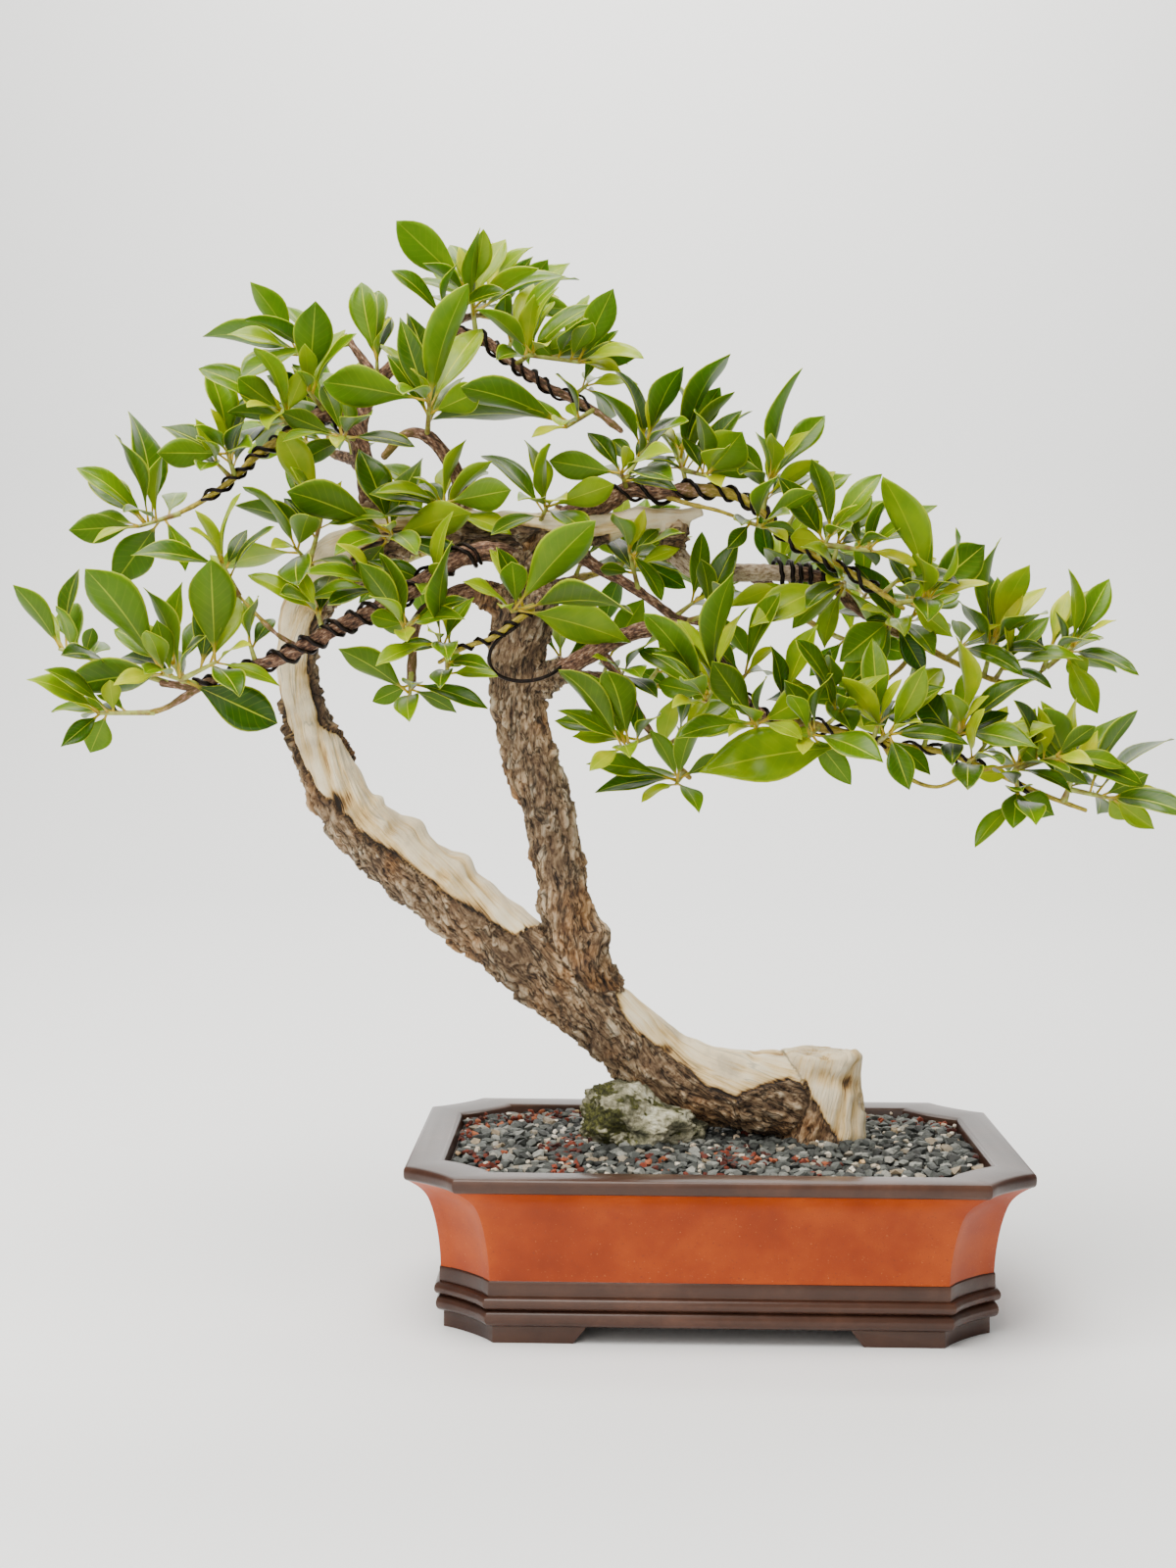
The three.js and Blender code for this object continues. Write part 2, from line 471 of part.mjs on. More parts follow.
const leafyStems = {
  left_tip: [
    shoot([[172, 697, -56], [60, 662, -46]],
      [[13, 597, 22], [80, 580, 16], [57, 618, 14], [26, 645, 30], [95, 640, 16]]),
  ],
  left_low_end: [
    shoot([[204, 699, -54], [166, 688, -72]],
      [[87, 580, 45], [60, 703, 38], [160, 632, 24], [110, 664, 25], [150, 598, 16], [283, 738, 45]], 1),
    shoot([[230, 690, -52], [222, 676, -68]],
      [[215, 570, 48], [244, 606, 30], [290, 640, 28], [268, 600, 24]], 1),
  ],
  left_low_fork: [
    shoot([[158, 727, -59], [100, 728, -64]],
      [[62, 762, 20], [92, 768, 30], [112, 694, 20], [52, 726, 16]], 1),
  ],
  left_twig_end: [
    shoot([[244, 608, -57], [226, 574, -66]],
      [[200, 520, 14], [252, 540, 16], [214, 566, 10]], 0),
  ],
  left_up_end: [
    shoot([[184, 524, -4], [152, 534, -10]],
      [[70, 541, 30], [90, 486, 28], [118, 443, 12], [133, 418, 30], [165, 462, 14], [115, 598, 40],
        [190, 582, 18]], 1),
  ],
  left_up_middle: [
    shoot([[240, 487, -4], [232, 462, -16]],
      [[160, 462, 30], [210, 372, 26], [245, 430, 14], [262, 400, 18]], 1),
  ],
  top_left: [
    shoot([[358, 350, 20], [302, 362, 24]],
      [[255, 288, 24], [208, 341, 22], [249, 325, 18], [284, 310, 14], [246, 386, 18]], 1),
  ],
  left_up_inner: [
    shoot([[334, 423, 2], [314, 398, -16]],
      [[322, 307, 40], [352, 336, 18], [286, 350, 20], [272, 382, 18]], 1),
  ],
  left_up_front: [
    shoot([[306, 438, 0], [288, 420, -20]],
      [[242, 385, 28], [318, 362, 28], [262, 352, 20], [232, 420, 18]], 1),
  ],
  upright_front: [
    shoot([[364, 448, 7], [346, 446, -20]],
      [[286, 420, 24], [328, 392, 20], [350, 402, 16], [300, 476, 22]], 1),
  ],
  middle_up_crown: [
    shoot([[436, 446, 0], [438, 412, -24]],
      [[328, 389, 42], [416, 318, 30], [478, 290, 35], [492, 336, 32], [490, 399, 32], [388, 352, 14],
        [427, 266, 12], [503, 312, 14]], 1),
  ],
  top_crown: [
    shoot([[486, 343, 22], [480, 296, 28]],
      [[404, 225, 38], [460, 248, 22], [432, 268, 14], [516, 244, 24], [549, 272, 20], [591, 284, 12],
        [490, 232, 14]], 1),
  ],
  top_middle: [
    shoot([[526, 372, 15], [544, 360, -2]],
      [[487, 313, 18], [605, 345, 30], [545, 300, 22], [566, 308, 14]], 1),
    shoot([[540, 364, 0], [592, 370, -6]],
      [[626, 294, 32], [600, 300, 18], [652, 362, 25], [640, 330, 10], [548, 348, 20]], 1),
  ],
  top_hanging: [
    shoot([[606, 418, 4], [578, 436, -22]],
      [[470, 395, 34], [440, 430, 24], [520, 440, 18]], 1),
  ],
  arc_left: [
    shoot([[392, 556, 16], [400, 544, -24]],
      [[292, 500, 40], [366, 458, 32], [396, 450, 28], [432, 468, 24], [482, 522, 36], [364, 592, 28]], 1),
  ],
  arc_middle: [
    shoot([[462, 542, 14], [450, 512, -14]],
      [[522, 500, 35], [474, 448, 12], [502, 470, 16], [522, 545, 18], [424, 500, 12]], 1),
  ],
  arc_shoulder: [
    shoot([[332, 592, 14], [302, 560, -20]],
      [[250, 494, 12], [222, 580, 24], [252, 535, 25]], 0),
    shoot([[322, 578, -8], [328, 530, -18]],
      [[285, 440, 32], [300, 478, 20], [240, 515, 22]], 0),
  ],
  left_middle_fan: [
    shoot([[428, 628, -24], [412, 642, -58]],
      [[365, 572, 26], [388, 564, 18], [378, 628, 20], [318, 652, 28]], 1),
  ],
  left_middle_end: [
    shoot([[420, 684, -28], [418, 710, -38]],
      [[345, 662, 28], [466, 727, 16], [380, 716, 20]], 1),
  ],
  centre_fan: [
    shoot([[466, 665, -45], [448, 656, -60]],
      [[462, 552, 18], [484, 610, 14], [502, 590, 12], [436, 600, 14]], 0),
    shoot([[448, 676, -46], [456, 690, -60]],
      [[508, 690, 14], [474, 668, 14]], 0),
  ],
  centre_bright: [
    shoot([[548, 617, -26], [522, 624, -50]],
      [[608, 532, 45], [644, 656, 40], [648, 622, 24], [500, 560, 20]], 1),
  ],
  arc_crown: [
    shoot([[548, 538, 9], [558, 518, -16]],
      [[627, 494, 30], [536, 448, 18], [560, 452, 16], [492, 462, 20], [614, 425, 22], [484, 420, 18],
        [574, 430, 32]], 1),
  ],
  right_up_first: [
    shoot([[640, 501, -4], [634, 482, -22]],
      [[560, 470, 30], [600, 440, 18]], 1),
    shoot([[640, 493, -14], [660, 452, -12]],
      [[696, 372, 26], [629, 375, 14], [608, 396, 14], [660, 380, 14], [648, 408, 10], [624, 448, 18],
        [716, 416, 32]], 1),
  ],
  right_up_third: [
    shoot([[702, 501, -10], [692, 458, 10]],
      [[735, 395, 28], [694, 392, 14], [742, 358, 25], [778, 370, 40], [750, 400, 14], [768, 420, 12]], 1),
    shoot([[700, 494, -3], [722, 486, -30]],
      [[758, 440, 46], [696, 446, 14], [776, 480, 20]], 0),
  ],
  right_up_fifth: [
    shoot([[778, 523, -14], [786, 488, -22]],
      [[818, 375, 14], [772, 440, 10], [754, 450, 20], [812, 448, 20], [836, 470, 18]], 1),
  ],
  right_up_twig_end: [
    shoot([[750, 528, -23], [778, 538, -36]],
      [[832, 500, 18], [826, 548, 16], [742, 560, 18]], 0),
  ],
  right_inner_end: [
    shoot([[652, 604, 0], [642, 562, -16]],
      [[676, 612, 16], [672, 540, 14], [624, 520, 14], [694, 560, 14], [612, 580, 14]], 1),
  ],
  right_inner_far: [
    shoot([[700, 634, 3], [738, 622, -8]],
      [[790, 600, 20], [762, 668, 18], [716, 570, 20]], 1),
  ],
  right_up_last: [
    shoot([[834, 568, -17], [848, 544, -28]],
      [[828, 468, 22], [890, 506, 24], [806, 548, 22], [812, 506, 16]], 1),
    shoot([[870, 586, -18], [888, 562, -28]],
      [[902, 510, 14], [858, 520, 16], [926, 540, 16]], 0),
  ],
  right_up_end: [
    shoot([[914, 616, -21], [938, 612, -32]],
      [[900, 487, 36], [948, 535, 22], [938, 566, 18], [1006, 555, 40], [980, 522, 38], [906, 568, 14],
        [972, 650, 22]], 1),
  ],
  right_middle_fan: [
    shoot([[860, 608, 20], [862, 594, -12]],
      [[765, 640, 34], [808, 640, 22], [840, 660, 20], [902, 646, 16]], 1),
  ],
  right_middle_bright: [
    shoot([[926, 651, 24], [910, 630, -10]],
      [[857, 675, 40], [880, 690, 26], [944, 688, 24]], 1),
  ],
  right_middle_low: [
    shoot([[862, 719, 3], [842, 716, -12]],
      [[812, 650, 12], [846, 662, 16], [893, 662, 28], [905, 752, 22], [800, 704, 16]], 1),
  ],
  right_middle_far: [
    shoot([[1004, 690, 20], [1014, 650, 8]],
      [[1050, 575, 28], [1068, 600, 20], [1017, 548, 12], [994, 566, 20], [978, 612, 14],
        [1066, 656, 18]], 1),
  ],
  right_middle_end: [
    shoot([[1068, 681, 20], [1090, 664, 14]],
      [[1092, 580, 14], [1108, 692, 24], [1120, 728, 28], [1140, 686, 14], [1130, 630, 16]], 1),
  ],
  right_low_first: [
    shoot([[776, 730, -30], [772, 742, -52]],
      [[726, 674, 35], [834, 704, 34], [818, 752, 14], [718, 752, 16]], 1),
  ],
  right_low_big: [
    shoot([[836, 741, -30], [826, 752, -54]],
      [[713, 789, 54], [868, 800, 26], [800, 694, 20]], 1),
  ],
  right_low_second: [
    shoot([[896, 757, -30], [908, 748, -52]],
      [[928, 806, 28], [962, 680, 35], [860, 690, 22], [950, 790, 16]], 1),
  ],
  right_low_third: [
    shoot([[964, 768, -28], [980, 746, -40]],
      [[978, 648, 18], [998, 676, 20], [1056, 690, 18], [938, 706, 32], [1030, 728, 16]], 1),
  ],
  right_low_fourth: [
    shoot([[1030, 796, -25], [1040, 776, -38]],
      [[1056, 722, 18], [1000, 728, 20], [1084, 742, 20], [994, 790, 18]], 0),
    shoot([[1036, 788, -33], [1040, 818, -46]],
      [[995, 865, 18], [1076, 832, 30], [1034, 844, 28]], 0),
    shoot([[1041, 800, -40], [1078, 772, -52]],
      [[1118, 740, 18], [1110, 800, 20], [1060, 720, 16]], 1),
  ],
  right_low_end: [
    shoot([[1084, 818, -24], [1096, 792, -32]],
      [[1066, 722, 38], [1098, 712, 20], [1140, 720, 28]], 1),
    shoot([[1100, 824, -24], [1136, 816, -24]],
      [[1178, 846, 22], [1154, 836, 24], [1172, 790, 24], [1197, 752, 14], [1160, 724, 16]], 1),
  ],
  right_hanging_front: [
    shoot([[666, 750, -15], [634, 764, -40]],
      [[572, 681, 26], [596, 684, 14], [620, 682, 34], [566, 736, 20], [540, 785, 20], [650, 720, 14],
        [584, 752, 20]], 1),
  ],
  right_low_fan: [
    shoot([[738, 684, -30], [720, 716, -66]],
      [[658, 624, 32], [652, 662, 24], [672, 698, 24], [692, 632, 22], [747, 583, 28], [762, 618, 12],
        [727, 620, 14]], 1),
  ],
  right_hanging_end: [
    shoot([[698, 788, -12], [690, 800, -26]],
      [[712, 732, 24], [664, 744, 18], [748, 772, 18]], 1),
  ],
  back_left_end: [
    shoot([[330, 459, 90], [300, 446, 122]],
      [[262, 404, 26], [306, 380, 24], [252, 462, 22], [340, 410, 20], [300, 506, 20]], 3),
  ],
  back_top_end: [
    shoot([[500, 324, 94], [524, 312, 116]],
      [[560, 264, 24], [512, 256, 22], [584, 316, 22], [540, 372, 20]], 3),
  ],
  back_middle_end: [
    shoot([[622, 582, 102], [648, 568, 122]],
      [[696, 540, 26], [660, 508, 24], [700, 600, 24], [616, 640, 22], [606, 540, 20]], 3),
  ],
  back_centre_end: [
    shoot([[430, 566, 98], [408, 576, 122]],
      [[352, 556, 26], [394, 506, 24], [366, 616, 22], [436, 634, 22], [444, 516, 20]], 3),
  ],
  back_right_end: [
    shoot([[846, 646, 98], [872, 656, 118]],
      [[920, 612, 26], [872, 584, 24], [930, 668, 24], [866, 722, 22], [826, 690, 20]], 3),
  ],
  back_low_end: [
    shoot([[672, 700, 95], [702, 706, 112]],
      [[752, 692, 24], [706, 646, 22], [756, 736, 22], [676, 760, 22], [652, 684, 20]], 2),
  ],
};

// A shoot with many leaves is drawn out past its hub until they have room, and one that isn't
// the first of its stem springs from the first
function shootLines(shoots) {
  const lines = shoots.map(({ stem, leaves, behind }) => {
    const line = new THREE.Line3(...stem.map(([u, v, y]) => at(u, v, y)));
    const missing = (leastSpacing * (leaves.length + behind)) / leafyShare - line.distance();
    const along = line.delta(new THREE.Vector3()).normalize();
    line.end.addScaledVector(along, Math.max(0, missing) * drawnOut);
    return line;
  });
  lines.slice(1).forEach((line) => {
    const share = lines[0].closestPointToPointParameter(line.start, true);
    lines[0].at(Math.max(forkFrom, share), line.start);
  });
  return lines;
}

function makeStem({ start, end }) {
  const tangent = end.clone().sub(start).normalize();
  const normal = new THREE.Vector3(0, 0, 1).addScaledVector(tangent, -tangent.z).normalize();
  const side = tangent.clone().cross(normal);
  return toSolid(loft([
    ringAt({ centre: start, normal, side }, stemSides, () => stemRadius.foot),
    ringAt({ centre: end, normal, side }, stemSides, () => stemRadius.end),
  ]));
}

// Where each leaf of a shoot springs and where its tip is, before it is swung clear
function plannedLeaves({ stem, leaves, behind }, line, draw) {
  const hub = stem[stem.length - 1];
  const spacing = Math.min(leafSpacing, (leafyShare * line.distance()) / (leaves.length + behind));
  const shareAt = (index) => 1 - (firstLeaf + spacing * index) / line.distance();
  const baseAt = (index) => line.at(shareAt(index), new THREE.Vector3());
  const seen = leaves.map(([u, v, width], index) => {
    const base = baseAt(index);
    const flat = base.distanceTo(at(u, v, base.y));
    const depth = (index % 2 === 0 ? -1 : 1) * flat * (depthShare.least + depthShare.spread * draw());
    return { base, u, v, depth: base.y + depth, width };
  });
  for (let index = 0; index < behind; index += 1) {
    const base = baseAt(index + leaves.length);
    const angle = 2 * Math.PI * draw();
    const reach = behindLeaf.reach + behindLeaf.reachSpread * draw();
    seen.push({
      base,
      u: hub[0] + reach * Math.cos(angle),
      v: hub[1] - reach * Math.abs(Math.sin(angle)),
      depth: base.y + behindLeaf.depth + behindLeaf.depthSpread * draw(),
      width: behindLeaf.width + behindLeaf.widthSpread * draw(),
    });
  }
  return seen;
}

function boxesMeet(a, b) {
  return [0, 1, 2].every((axis) => a.min[axis] <= b.max[axis] && b.min[axis] <= a.max[axis]);
}

function crosses(solid, obstacles) {
  const box = solid.boundingBox();
  return obstacles.some((other) => boxesMeet(box, other.box) && solid.intersect(other.solid).volume() > 0);
}

const obstacle = (solid) => ({ solid, box: solid.boundingBox() });

// A leaf keeps its direction in the picture and is swung nearer or farther, and then made
// shorter, until it is clear of the wood, the wires and the leaves that are already there
function clearFrame(base, { u, v, depth, width }, others) {
  for (const share of shorterLeaf) {
    for (let attempt = 0; attempt < 2 * swingTries; attempt += 1) {
      const swing = (attempt % 2 === 0 ? 1 : -1) * Math.ceil(attempt / 2) * swingStep;
      const tip = base.clone().lerp(at(u, v, depth + swing), share);
      const frame = leafFrame(base, tip, width * share);
      if (!crosses(makeBlade(frame, clearMargin, clearFrom), others)) {
        return frame;
      }
    }
  }
  return null;
}

function makeLeafyStems(wood, wireSolids) {
  const draw = draws(leafSeed);
  const lines = Object.values(leafyStems).map(shootLines);
  const stems = lines.map((list) => list.map(makeStem));
  const fixed = [obstacle(wood), ...wireSolids.map(obstacle)];
  const stemObstacles = stems.map((solids) => solids.map(obstacle));
  const placed = [];
  const solids = stems.map((own, owner) => {
    const parts = [...own];
    const mine = [];
    Object.values(leafyStems)[owner].forEach((entry, index) => {
      plannedLeaves(entry, lines[owner][index], draw).forEach(({ base, u, v, depth, width }) => {
        const others = [
          ...fixed, ...placed, ...mine,
          ...stemObstacles.flatMap((list, other) => (other === owner ? [] : list)),
        ];
        const frame = clearFrame(base, { u, v, depth, width }, others);
        if (frame) {
          const blade = makeBlade(frame, 0, 0);
          parts.push(blade);
          mine.push(obstacle(blade));
        }
      });
    });
    placed.push(...mine);
    return union(parts);
  });
  return solids;
}

// Soil with its gravel raised from the surface, and the rock that stands in it
function reliefSurface() {
  const across = Math.round(potLength / gravelPitch);
  const deep = Math.round(potDepth / gravelPitch);
  const draw = draws(gravelSeed);
  const top = [];
  const bottom = [];
  for (let row = 0; row <= deep; row += 1) {
    for (let column = 0; column <= across; column += 1) {
      const edge = row === 0 || column === 0 || row === deep || column === across;
      const jitter = edge ? 0 : 2 * gravelJitter * gravelPitch;
      const x = (column / across - 0.5) * potLength + (draw() - 0.5) * jitter;
      const y = (row / deep - 0.5) * potDepth + (draw() - 0.5) * jitter;
      const crown = soilCrown * (1 - (2 * x / potLength) ** 2) * (1 - (2 * y / potDepth) ** 2);
      const stone = (row + column) % 2 === 0 ? highStone : lowStone;
      const lift = gravelRelief * (stone.least + stone.spread * draw());
      top.push(new THREE.Vector3(x, y, soilLevel + crown + lift));
      bottom.push(new THREE.Vector3(x, y, 0));
    }
  }
  const faces = [];
  const wide = across + 1;
  const shift = top.length;
  for (let row = 0; row < deep; row += 1) {
    for (let column = 0; column < across; column += 1) {
      const a = row * wide + column;
      const b = a + 1;
      const c = a + wide;
      const d = c + 1;
      const split = (row + column) % 2 === 0 ? [a, b, d, a, d, c] : [a, b, c, b, d, c];
      faces.push(...split);
      for (let k = 0; k < 6; k += 3) {
        faces.push(split[k] + shift, split[k + 2] + shift, split[k + 1] + shift);
      }
    }
  }
  const loop = [];
  for (let column = 0; column < across; column += 1) {
    loop.push(column);
  }
  for (let row = 0; row < deep; row += 1) {
    loop.push(row * wide + across);
  }
  for (let column = across; column > 0; column -= 1) {
    loop.push(deep * wide + column);
  }
  for (let row = deep; row > 0; row -= 1) {
    loop.push(row * wide);
  }
  loop.forEach((from, index) => {
    const to = loop[(index + 1) % loop.length];
    faces.push(from, from + shift, to + shift, from, to + shift, to);
  });
  return toSolid(facesOver([...top, ...bottom], faces));
}

function makeSoil(standing) {
  const fill = toSolid(loft([
    octagon(potFloorTop + seam, innerInset.floor + seam),
    octagon(soilLevel, innerInset.rim + seam),
    octagon(potHeight + gravelRelief, innerInset.rim + seam),
  ]));
  return largest(fill.intersect(reliefSurface()).subtract(standing));
}

// The rock is a ball with knobs, ripples and ledges in it
function makeRock(grow) {
  const geometry = new THREE.IcosahedronGeometry(1, 2);
  const place = geometry.attributes.position;
  const centre = at(rockCentre.u, rockCentre.v, rockCentre.y);
  for (let k = 0; k < place.count; k += 1) {
    const p = new THREE.Vector3().fromBufferAttribute(place, k);
    const knob = rockKnobs * Math.sin(3.1 * p.x + 2 * p.y) * Math.cos(2.7 * p.z - 1);
    const ripple = rockRipple * Math.sin(7 * p.x - 5 * p.z);
    const ledge = rockLedge * Math.round(2 * Math.sin(4 * p.z + p.x));
    p.multiplyScalar(1 + knob + ripple + ledge);
    place.setXYZ(
      k,
      centre.x + p.x * (rockSize.x / 2 + grow),
      centre.y + p.y * (rockSize.y / 2 + grow),
      centre.z + p.z * (rockSize.z / 2 + grow),
    );
  }
  return toSolid(geometry);
}

const colours = {
  pot: { color: '#a5502f', roughness: 0.55 },
  soil: { color: '#4a423c', roughness: 0.95 },
  rock: { color: '#8d8a6d', roughness: 0.9 },
  tree: { color: '#a58d6c', roughness: 0.85 },
  wire: { color: '#7a4a24', roughness: 0.4, metalness: 0.8 },
  leaves: { color: '#5f7d3a', roughness: 0.45 },
};

const bonsai = new THREE.Group();

function addPiece(name, solid, look) {
  const mesh = new THREE.Mesh(fromSolid(solid), new THREE.MeshStandardMaterial(look));
  mesh.name = name;
  bonsai.add(mesh);
}

const wood = makeWood(0);
const grownWood = makeWood(cutMargin);
const rock = largest(makeRock(0).subtract(grownWood));
const wireEntries = Object.entries(wires);
const wireSolids = wireEntries.map(([, wire]) => largest(makeWire(wire, 0).subtract(grownWood)));
const grownWires = union(wireEntries.map(([, wire]) => makeWire(wire, cutMargin)));

addPiece('pot', makePot(), colours.pot);
addPiece('soil', makeSoil(grownWood.add(makeRock(seam))), colours.soil);
addPiece('rock', rock, colours.rock);
addPiece('tree', wood, colours.tree);
wireEntries.forEach(([name], index) => addPiece(name, wireSolids[index], colours.wire));
makeLeafyStems(wood, wireSolids).forEach((solid, index) => {
  const name = `leaves_${Object.keys(leafyStems)[index]}`;
  addPiece(name, largest(solid.subtract(grownWood).subtract(grownWires)), colours.leaves);
});

// The origin is the middle of the underside of the whole part's box
const box = new THREE.Box3().setFromObject(bonsai);
const middle = box.getCenter(new THREE.Vector3());
bonsai.position.set(-middle.x, -middle.y, -box.min.z);
bonsai.updateMatrixWorld(true);

export default bonsai;
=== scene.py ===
# Wired bonsai tree in an eight-sided tray pot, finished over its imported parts.
# Metres, +Z up, the viewer's side towards -Y, the long right branch towards +X.
import math
import random

import bmesh
import bpy
from mathutils import Matrix, Vector, noise
from mathutils.bvhtree import BVHTree
from mathutils.kdtree import KDTree


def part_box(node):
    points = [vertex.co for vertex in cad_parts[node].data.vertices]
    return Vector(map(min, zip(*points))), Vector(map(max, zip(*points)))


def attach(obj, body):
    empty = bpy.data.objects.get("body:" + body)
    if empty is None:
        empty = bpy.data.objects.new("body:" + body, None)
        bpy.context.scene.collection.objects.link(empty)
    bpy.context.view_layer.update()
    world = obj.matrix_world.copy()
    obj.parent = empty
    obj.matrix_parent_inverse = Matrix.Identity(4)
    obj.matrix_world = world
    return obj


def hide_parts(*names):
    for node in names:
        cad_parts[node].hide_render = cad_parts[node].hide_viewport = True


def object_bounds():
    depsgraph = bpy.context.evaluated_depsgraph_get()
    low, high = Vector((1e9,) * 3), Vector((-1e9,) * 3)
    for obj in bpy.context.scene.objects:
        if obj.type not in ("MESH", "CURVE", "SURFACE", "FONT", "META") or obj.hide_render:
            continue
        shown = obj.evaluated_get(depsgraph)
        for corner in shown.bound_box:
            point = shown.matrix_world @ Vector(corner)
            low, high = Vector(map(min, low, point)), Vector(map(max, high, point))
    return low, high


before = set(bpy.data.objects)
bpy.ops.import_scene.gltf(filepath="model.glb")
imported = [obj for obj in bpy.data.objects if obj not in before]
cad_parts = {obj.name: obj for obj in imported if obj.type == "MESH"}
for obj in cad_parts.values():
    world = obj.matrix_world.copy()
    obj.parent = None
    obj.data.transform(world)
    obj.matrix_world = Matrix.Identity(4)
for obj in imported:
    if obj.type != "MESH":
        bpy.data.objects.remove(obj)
cad_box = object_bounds()
mm = 0.001


# The place it is looked at. The tree is laid out from here: a picture point (u, v) lies in a frame
# 1200 wide and 1600 high, and depth is the distance in mm behind the middle of the pot.
picture_width = 1200
picture_height = 1600
focal = 2150
pan = math.radians(1.006)
tilt = math.radians(2.664)
roll = math.radians(0.427)
pot_low, pot_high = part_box("pot")
pot_middle = Vector(((pot_low.x + pot_high.x) / 2, (pot_low.y + pot_high.y) / 2, pot_low.z))
eye = pot_middle + Vector((-58.6, -1345.1, 393.4)) * mm
view_right = Vector((math.cos(pan), math.sin(pan), 0))
view_ahead = Vector((-math.sin(pan) * math.cos(tilt), math.cos(pan) * math.cos(tilt), -math.sin(tilt)))
view_up = view_right.cross(view_ahead)
camera_right = view_right * math.cos(roll) + view_up * math.sin(roll)
camera_up = view_up * math.cos(roll) - view_right * math.sin(roll)


def at(u, v, depth):
    """The point at a depth in mm that is seen at a picture point."""
    right = (u - picture_width / 2) / focal
    up = (picture_height / 2 - v) / focal
    ray = view_ahead + camera_right * right + camera_up * up
    return eye + ray * ((pot_middle.y + depth * mm - eye.y) / ray.y)


sensor = 36
bpy.ops.object.camera_add(location=eye)
camera = bpy.context.object
camera.name = "camera"
camera.data.sensor_width = sensor
camera.data.lens = focal * sensor / picture_height
camera.matrix_world = Matrix.Translation(eye) @ Matrix((
    (camera_right.x, camera_up.x, -view_ahead.x),
    (camera_right.y, camera_up.y, -view_ahead.y),
    (camera_right.z, camera_up.z, -view_ahead.z),
)).to_4x4()
bpy.context.scene.camera = camera


# The studio: a pale sweep of paper that is floor and backdrop in one, a wide soft light overhead,
# as from a bright sky, a weaker one from the viewer's side, and one that evens out the backdrop.
def linear(code):
    """A colour written as sRGB hex, as the linear values that a shader takes."""
    parts = [int(code[k:k + 2], 16) / 255 for k in (1, 3, 5)]
    return [c / 12.92 if c <= 0.04045 else ((c + 0.055) / 1.055) ** 2.4 for c in parts] + [1.0]


def set_inputs(node, inputs):
    """Fills a node's inputs, each with a value, another node's output, or its first one in use."""
    for name, value in inputs.items():
        if isinstance(value, bpy.types.Node):
            value = next(output for output in value.outputs if output.enabled)
        if isinstance(value, bpy.types.NodeSocket):
            node.id_data.links.new(value, node.inputs[name])
        else:
            node.inputs[name].default_value = value


def add_node(material, kind, inputs=None, stops=None, **settings):
    """Adds a node with its settings, its inputs and the colour stops of a ramp."""
    node = material.node_tree.nodes.new("ShaderNode" + kind)
    for name, value in settings.items():
        setattr(node, name, value)
    set_inputs(node, inputs or {})
    if stops:
        ramp = node.color_ramp
        ramp.elements[0].position = stops[0][0]
        ramp.elements[1].position = stops[-1][0]
        for place, _ in stops[1:-1]:
            ramp.elements.new(place)
        for element, (_, colour) in zip(ramp.elements, stops):
            element.color = linear(colour)
    return node


def new_material(name):
    """An empty material with its surface shader, and that shader."""
    material = bpy.data.materials.new(name)
    material.use_nodes = True
    return material, material.node_tree.nodes["Principled BSDF"]


def scaled(name, scale):
    """Names the object that was just added, and applies a scale to it."""
    added = bpy.context.object
    added.name = name
    added.scale = scale
    bpy.ops.object.transform_apply(location=True, rotation=True, scale=True)
    return added


def select_only(obj, test, kind="FACE"):
    """Selects the vertices, edges or faces of a mesh in edit mode that pass a test."""
    bpy.ops.mesh.select_mode(type=kind)
    bpy.ops.mesh.select_all(action="DESELECT")
    shape = bmesh.from_edit_mesh(obj.data)
    for part in {"VERT": shape.verts, "EDGE": shape.edges, "FACE": shape.faces}[kind]:
        if test(part):
            part.select_set(True)
    shape.select_flush_mode()
    bmesh.update_edit_mesh(obj.data)


# Seamless paper: matt and nearly white
paper, surface = new_material("seamless_paper")
set_inputs(surface, {"Base Color": linear("#e8ecef"), "Roughness": 0.9, "Specular IOR Level": 0.2})

sweep_width = 14.0
sweep_front = -5.0
sweep_back = 3.4
sweep_height = 4.0
sweep_curve = 0.9
bpy.ops.object.select_all(action="DESELECT")
bpy.ops.mesh.primitive_plane_add(size=1, location=(pot_middle.x, (sweep_front + sweep_back) / 2, 0))
floor = scaled("floor_sweep", (sweep_width, sweep_back - sweep_front, 1))
bpy.ops.object.mode_set(mode="EDIT")
select_only(floor, lambda e: all(v.co.y > sweep_back - mm for v in e.verts), "EDGE")
bpy.ops.mesh.extrude_edges_move(TRANSFORM_OT_translate={"value": (0, 0, sweep_height)})
select_only(floor, lambda e: all(v.co.y > sweep_back - mm and v.co.z < mm for v in e.verts), "EDGE")
bpy.ops.mesh.bevel(offset=sweep_curve, segments=24)
bpy.ops.object.mode_set(mode="OBJECT")
bpy.ops.object.shade_smooth()
floor.data.materials.append(paper)

